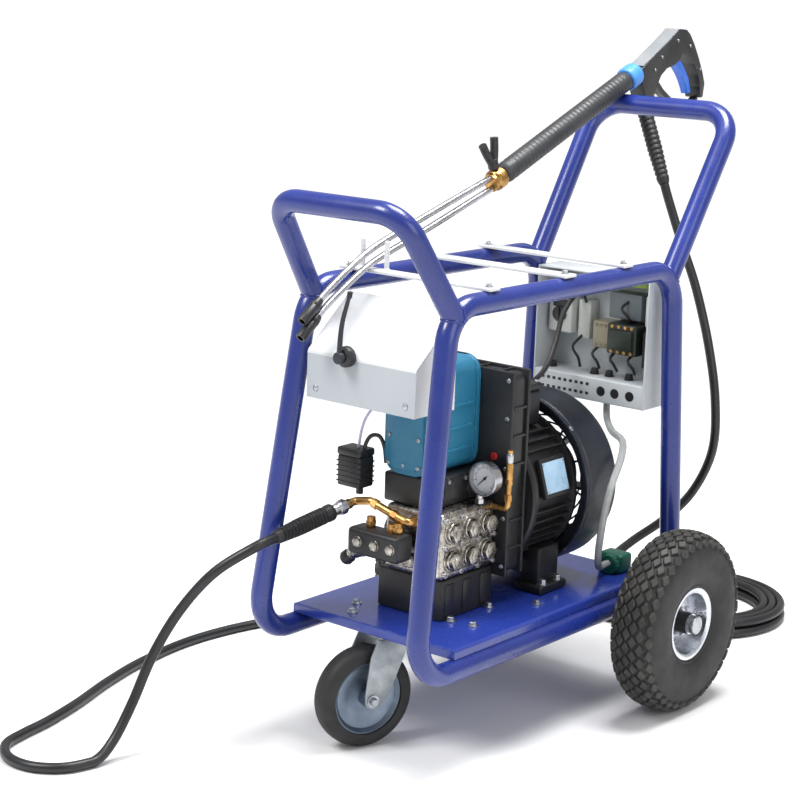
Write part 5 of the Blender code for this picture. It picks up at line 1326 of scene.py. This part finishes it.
GUN_SHELL = [(-0.006, 0.006), (0.028, 0.0235), (0.077, 0.0505), (0.117, 0.0765), (0.138, 0.0750),
             (0.151, 0.0670), (0.168, 0.0480), (0.185, 0.0240), (0.200, 0.0000), (0.210, -0.0220),
             (0.209, -0.0480), (0.195, -0.0480), (0.195, -0.0280), (0.187, -0.0060), (0.171, 0.0140),
             (0.151, 0.0300), (0.131, 0.0340), (0.118, 0.0200), (0.100, 0.0120), (0.080, 0.0080),
             (0.062, -0.0040), (0.052, -0.0200), (0.042, -0.0450), (0.018, -0.0450), (0.004, -0.0180)]
GUN_COVER = [(0.004, 0.0140), (0.028, 0.0265), (0.077, 0.0535), (0.114, 0.0765), (0.119, 0.0765),
             (0.120, 0.0740), (0.078, 0.0470), (0.030, 0.0210), (0.008, 0.0105)]
GUN_GUARD = [(0.050, -0.0120), (0.060, -0.0220), (0.080, -0.0380), (0.110, -0.0540), (0.150, -0.0650),
             (0.190, -0.0650), (0.207, -0.0500), (0.200, -0.0460), (0.188, -0.0565), (0.150, -0.0565),
             (0.114, -0.0460), (0.086, -0.0300), (0.066, -0.0140), (0.058, -0.0040)]
TRIGGER = [(0.000, 0.004), (0.014, -0.003), (0.030, -0.015), (0.044, -0.028), (0.054, -0.042),
           (0.062, -0.056),
           (0.066, -0.068), (0.056, -0.070), (0.049, -0.056), (0.041, -0.045), (0.032, -0.035),
           (0.018, -0.023),
           (0.004, -0.012), (-0.004, -0.004)]
TRIGGER_OFFSET = Vector((0, 0.112, 0.030))
TRIGGER_HALF = 0.0078
SLOT_ROOM = radians(10)


def moved(outline, origin):
    """The outline's (y, z) points, measured from the origin."""
    return [(origin.y + a, origin.z + b) for a, b in outline]


def trigger_slot():
    """Outline of the space that the trigger sweeps, with a little room round it."""
    upper = [(a + 0.001, b + 0.002) for a, b in TRIGGER[:7]]
    lower = [(a - 0.001, b - 0.002) for a, b in TRIGGER[7:]]
    along, across = cos(SLOT_ROOM), sin(SLOT_ROOM)
    return [(a * along - b * across, a * across + b * along) for a, b in upper] + lower


def cut_away(obj, cutter_bm):
    """Subtract a closed mesh from an object for good."""
    bmesh.ops.recalc_face_normals(cutter_bm, faces=cutter_bm.faces)
    mesh = bpy.data.meshes.new("cutter")
    cutter_bm.to_mesh(mesh)
    cutter_bm.free()
    cutter = bpy.data.objects.new("cutter", mesh)
    bpy.context.scene.collection.objects.link(cutter)
    cut = obj.modifiers.new("cut", "BOOLEAN")
    cut.operation = "DIFFERENCE"
    cut.solver = "EXACT"
    cut.object = cutter
    graph = bpy.context.evaluated_depsgraph_get()
    result = bpy.data.meshes.new_from_object(obj.evaluated_get(graph))
    obj.modifiers.clear()
    obj.data = result
    bpy.data.objects.remove(cutter)
    bpy.data.meshes.remove(mesh)


def make_gun():
    """Blue collar, shell with a slot for the trigger, guard, top cover, hose nut, screws and trigger."""
    profile = [(0, 0), (0.0190, 0), (0.0208, 0.003), (0.0208, 0.026), (0.0190, 0.030), (0, 0.030)]
    bm = lathe(soft_profile(profile, 0.001), GUN_BASE, -SLEEVE_WAY, 40)
    add_ridges(bm, GUN_BASE, -SLEEVE_WAY, 0.0200, 14, 0.006, 0.023, 0.0010)
    piece("gun_collar", bm, "light_blue", nodes=("gun_body",))
    collar = GUN_BASE - SLEEVE_WAY * 0.030
    pivot = collar + TRIGGER_OFFSET
    shell = rounded_outline(moved(GUN_SHELL, collar), 0.0045, 3)
    body = piece("gun_shell", mirrored_slab(shell, 0.0158, 0.0022), "black_plastic", smooth=45)
    cut_away(body, mirrored_slab(moved(trigger_slot(), pivot), TRIGGER_HALF + 0.0012, 0))
    guard = rounded_outline(moved(GUN_GUARD, collar), 0.0025, 2)
    piece("gun_guard", mirrored_slab(guard, 0.0069, 0.0012), "black_plastic", smooth=45)
    nut = lathe(disc(0.0085, 0, 0.0123), GUN_PORT - GUN_PORT_WAY * 0.012, GUN_PORT_WAY, 6)
    piece("gun_hose_nut", nut, "steel")
    cover = mirrored_slab(moved(GUN_COVER, collar), 0.0140, 0.0008)
    piece("gun_top_cover", cover, "gun_grey", smooth=45)
    bm = bmesh.new()
    for y, z in moved(((0.040, 0.006), (0.060, 0.028), (0.110, 0.056), (0.152, 0.046), (0.190, 0.004)),
                      collar):
        for side in (1, -1):
            add_cap_screw(bm, (LANCE_X + side * 0.0156, y, z), (side, 0, 0), 0.0026)
    piece("gun_screws", bm, "zinc")
    bm = mirrored_slab(moved(TRIGGER, pivot), TRIGGER_HALF, 0.0016)
    piece("trigger_lever", bm, "trigger_blue", "trigger", ("gun_trigger",), smooth=45)


def add_sleeve(name, node, start, way, length):
    """Ribbed rubber sleeve that tapers onto the hose."""
    profile = [(0, SEAM), (0.0125, SEAM), (0.0135, 0.002), (0.0135, 0.010)]
    step = (length - 0.024) / 14
    for k in range(14):
        along = 0.016 + step * k
        radius = 0.0135 - 0.0030 * max(0, along / length - 0.55) / 0.45
        groove = radius - 0.0011
        profile += [(groove, along), (groove, along + step * 0.25), (radius, along + step * 0.4),
                    (radius, along + step * 0.9)]
    profile += [(0.0096, length - 0.002), (0.0088, length), (0, length)]
    piece(name, lathe(profile, start, way, 36), "rubber", nodes=(node,), smooth=50)


def make_sleeves():
    outlet = OUTLET + OUTLET_WAY * SWIVEL_LENGTH
    add_sleeve("outlet_strain_relief", "outlet_hose_sleeve", outlet, OUTLET_WAY, OUTLET_SLEEVE)
    add_sleeve("gun_strain_relief", "gun_hose_sleeve", GUN_PORT, GUN_PORT_WAY, GUN_SLEEVE)


make_frame()
make_deck()
make_bars()
make_console()
make_bypass()
make_wheel("right", 1)
make_wheel("left", -1)
make_axle()
make_caster()
make_motor()
make_cowl()
make_terminal_box()
make_gear_housing()
dress_kept_nodes()
make_crankcase()
make_plunger_housing()
make_manifold()
make_gauge()
make_relief_valve()
make_unloader()
make_link()
make_pressure_switch()
make_control_case()
make_modules()
make_inlet()
make_lance()
make_gun()
make_sleeves()


# ---------------------------------------------------------------- stage
FLOOR_HALF = 90
WORLD_LIGHT = 0.50
LAMPS = (("key", (-0.9, -2.4, 3.2), 105, 1.3), ("top", (0.3, 0.3, 3.2), 125, 1.4),
         ("fill", (3.0, -0.6, 1.8), 26, 1.8))


def make_stage():
    bm = bmesh.new()
    bmesh.ops.create_grid(bm, x_segments=1, y_segments=1, size=FLOOR_HALF)
    mesh = bpy.data.meshes.new("floor")
    bm.to_mesh(mesh)
    bm.free()
    floor = bpy.data.objects.new("floor", mesh)
    floor.data.materials.append(MATERIALS["pale_floor"])
    bpy.context.scene.collection.objects.link(floor)
    world = bpy.data.worlds.new("studio")
    world.use_nodes = True
    world.node_tree.nodes["Background"].inputs["Color"].default_value = (1.0, 1.0, 1.0, 1)
    world.node_tree.nodes["Background"].inputs["Strength"].default_value = WORLD_LIGHT
    bpy.context.scene.world = world
    bpy.context.scene.view_settings.view_transform = "Standard"
    for name, place, power, size in LAMPS:
        light = bpy.data.lights.new(name, "AREA")
        light.energy = power
        light.size = size
        lamp = bpy.data.objects.new(name, light)
        lamp.matrix_world = aim(place, Vector(place) - Vector((0, 0, 0.4)))
        bpy.context.scene.collection.objects.link(lamp)


make_stage()
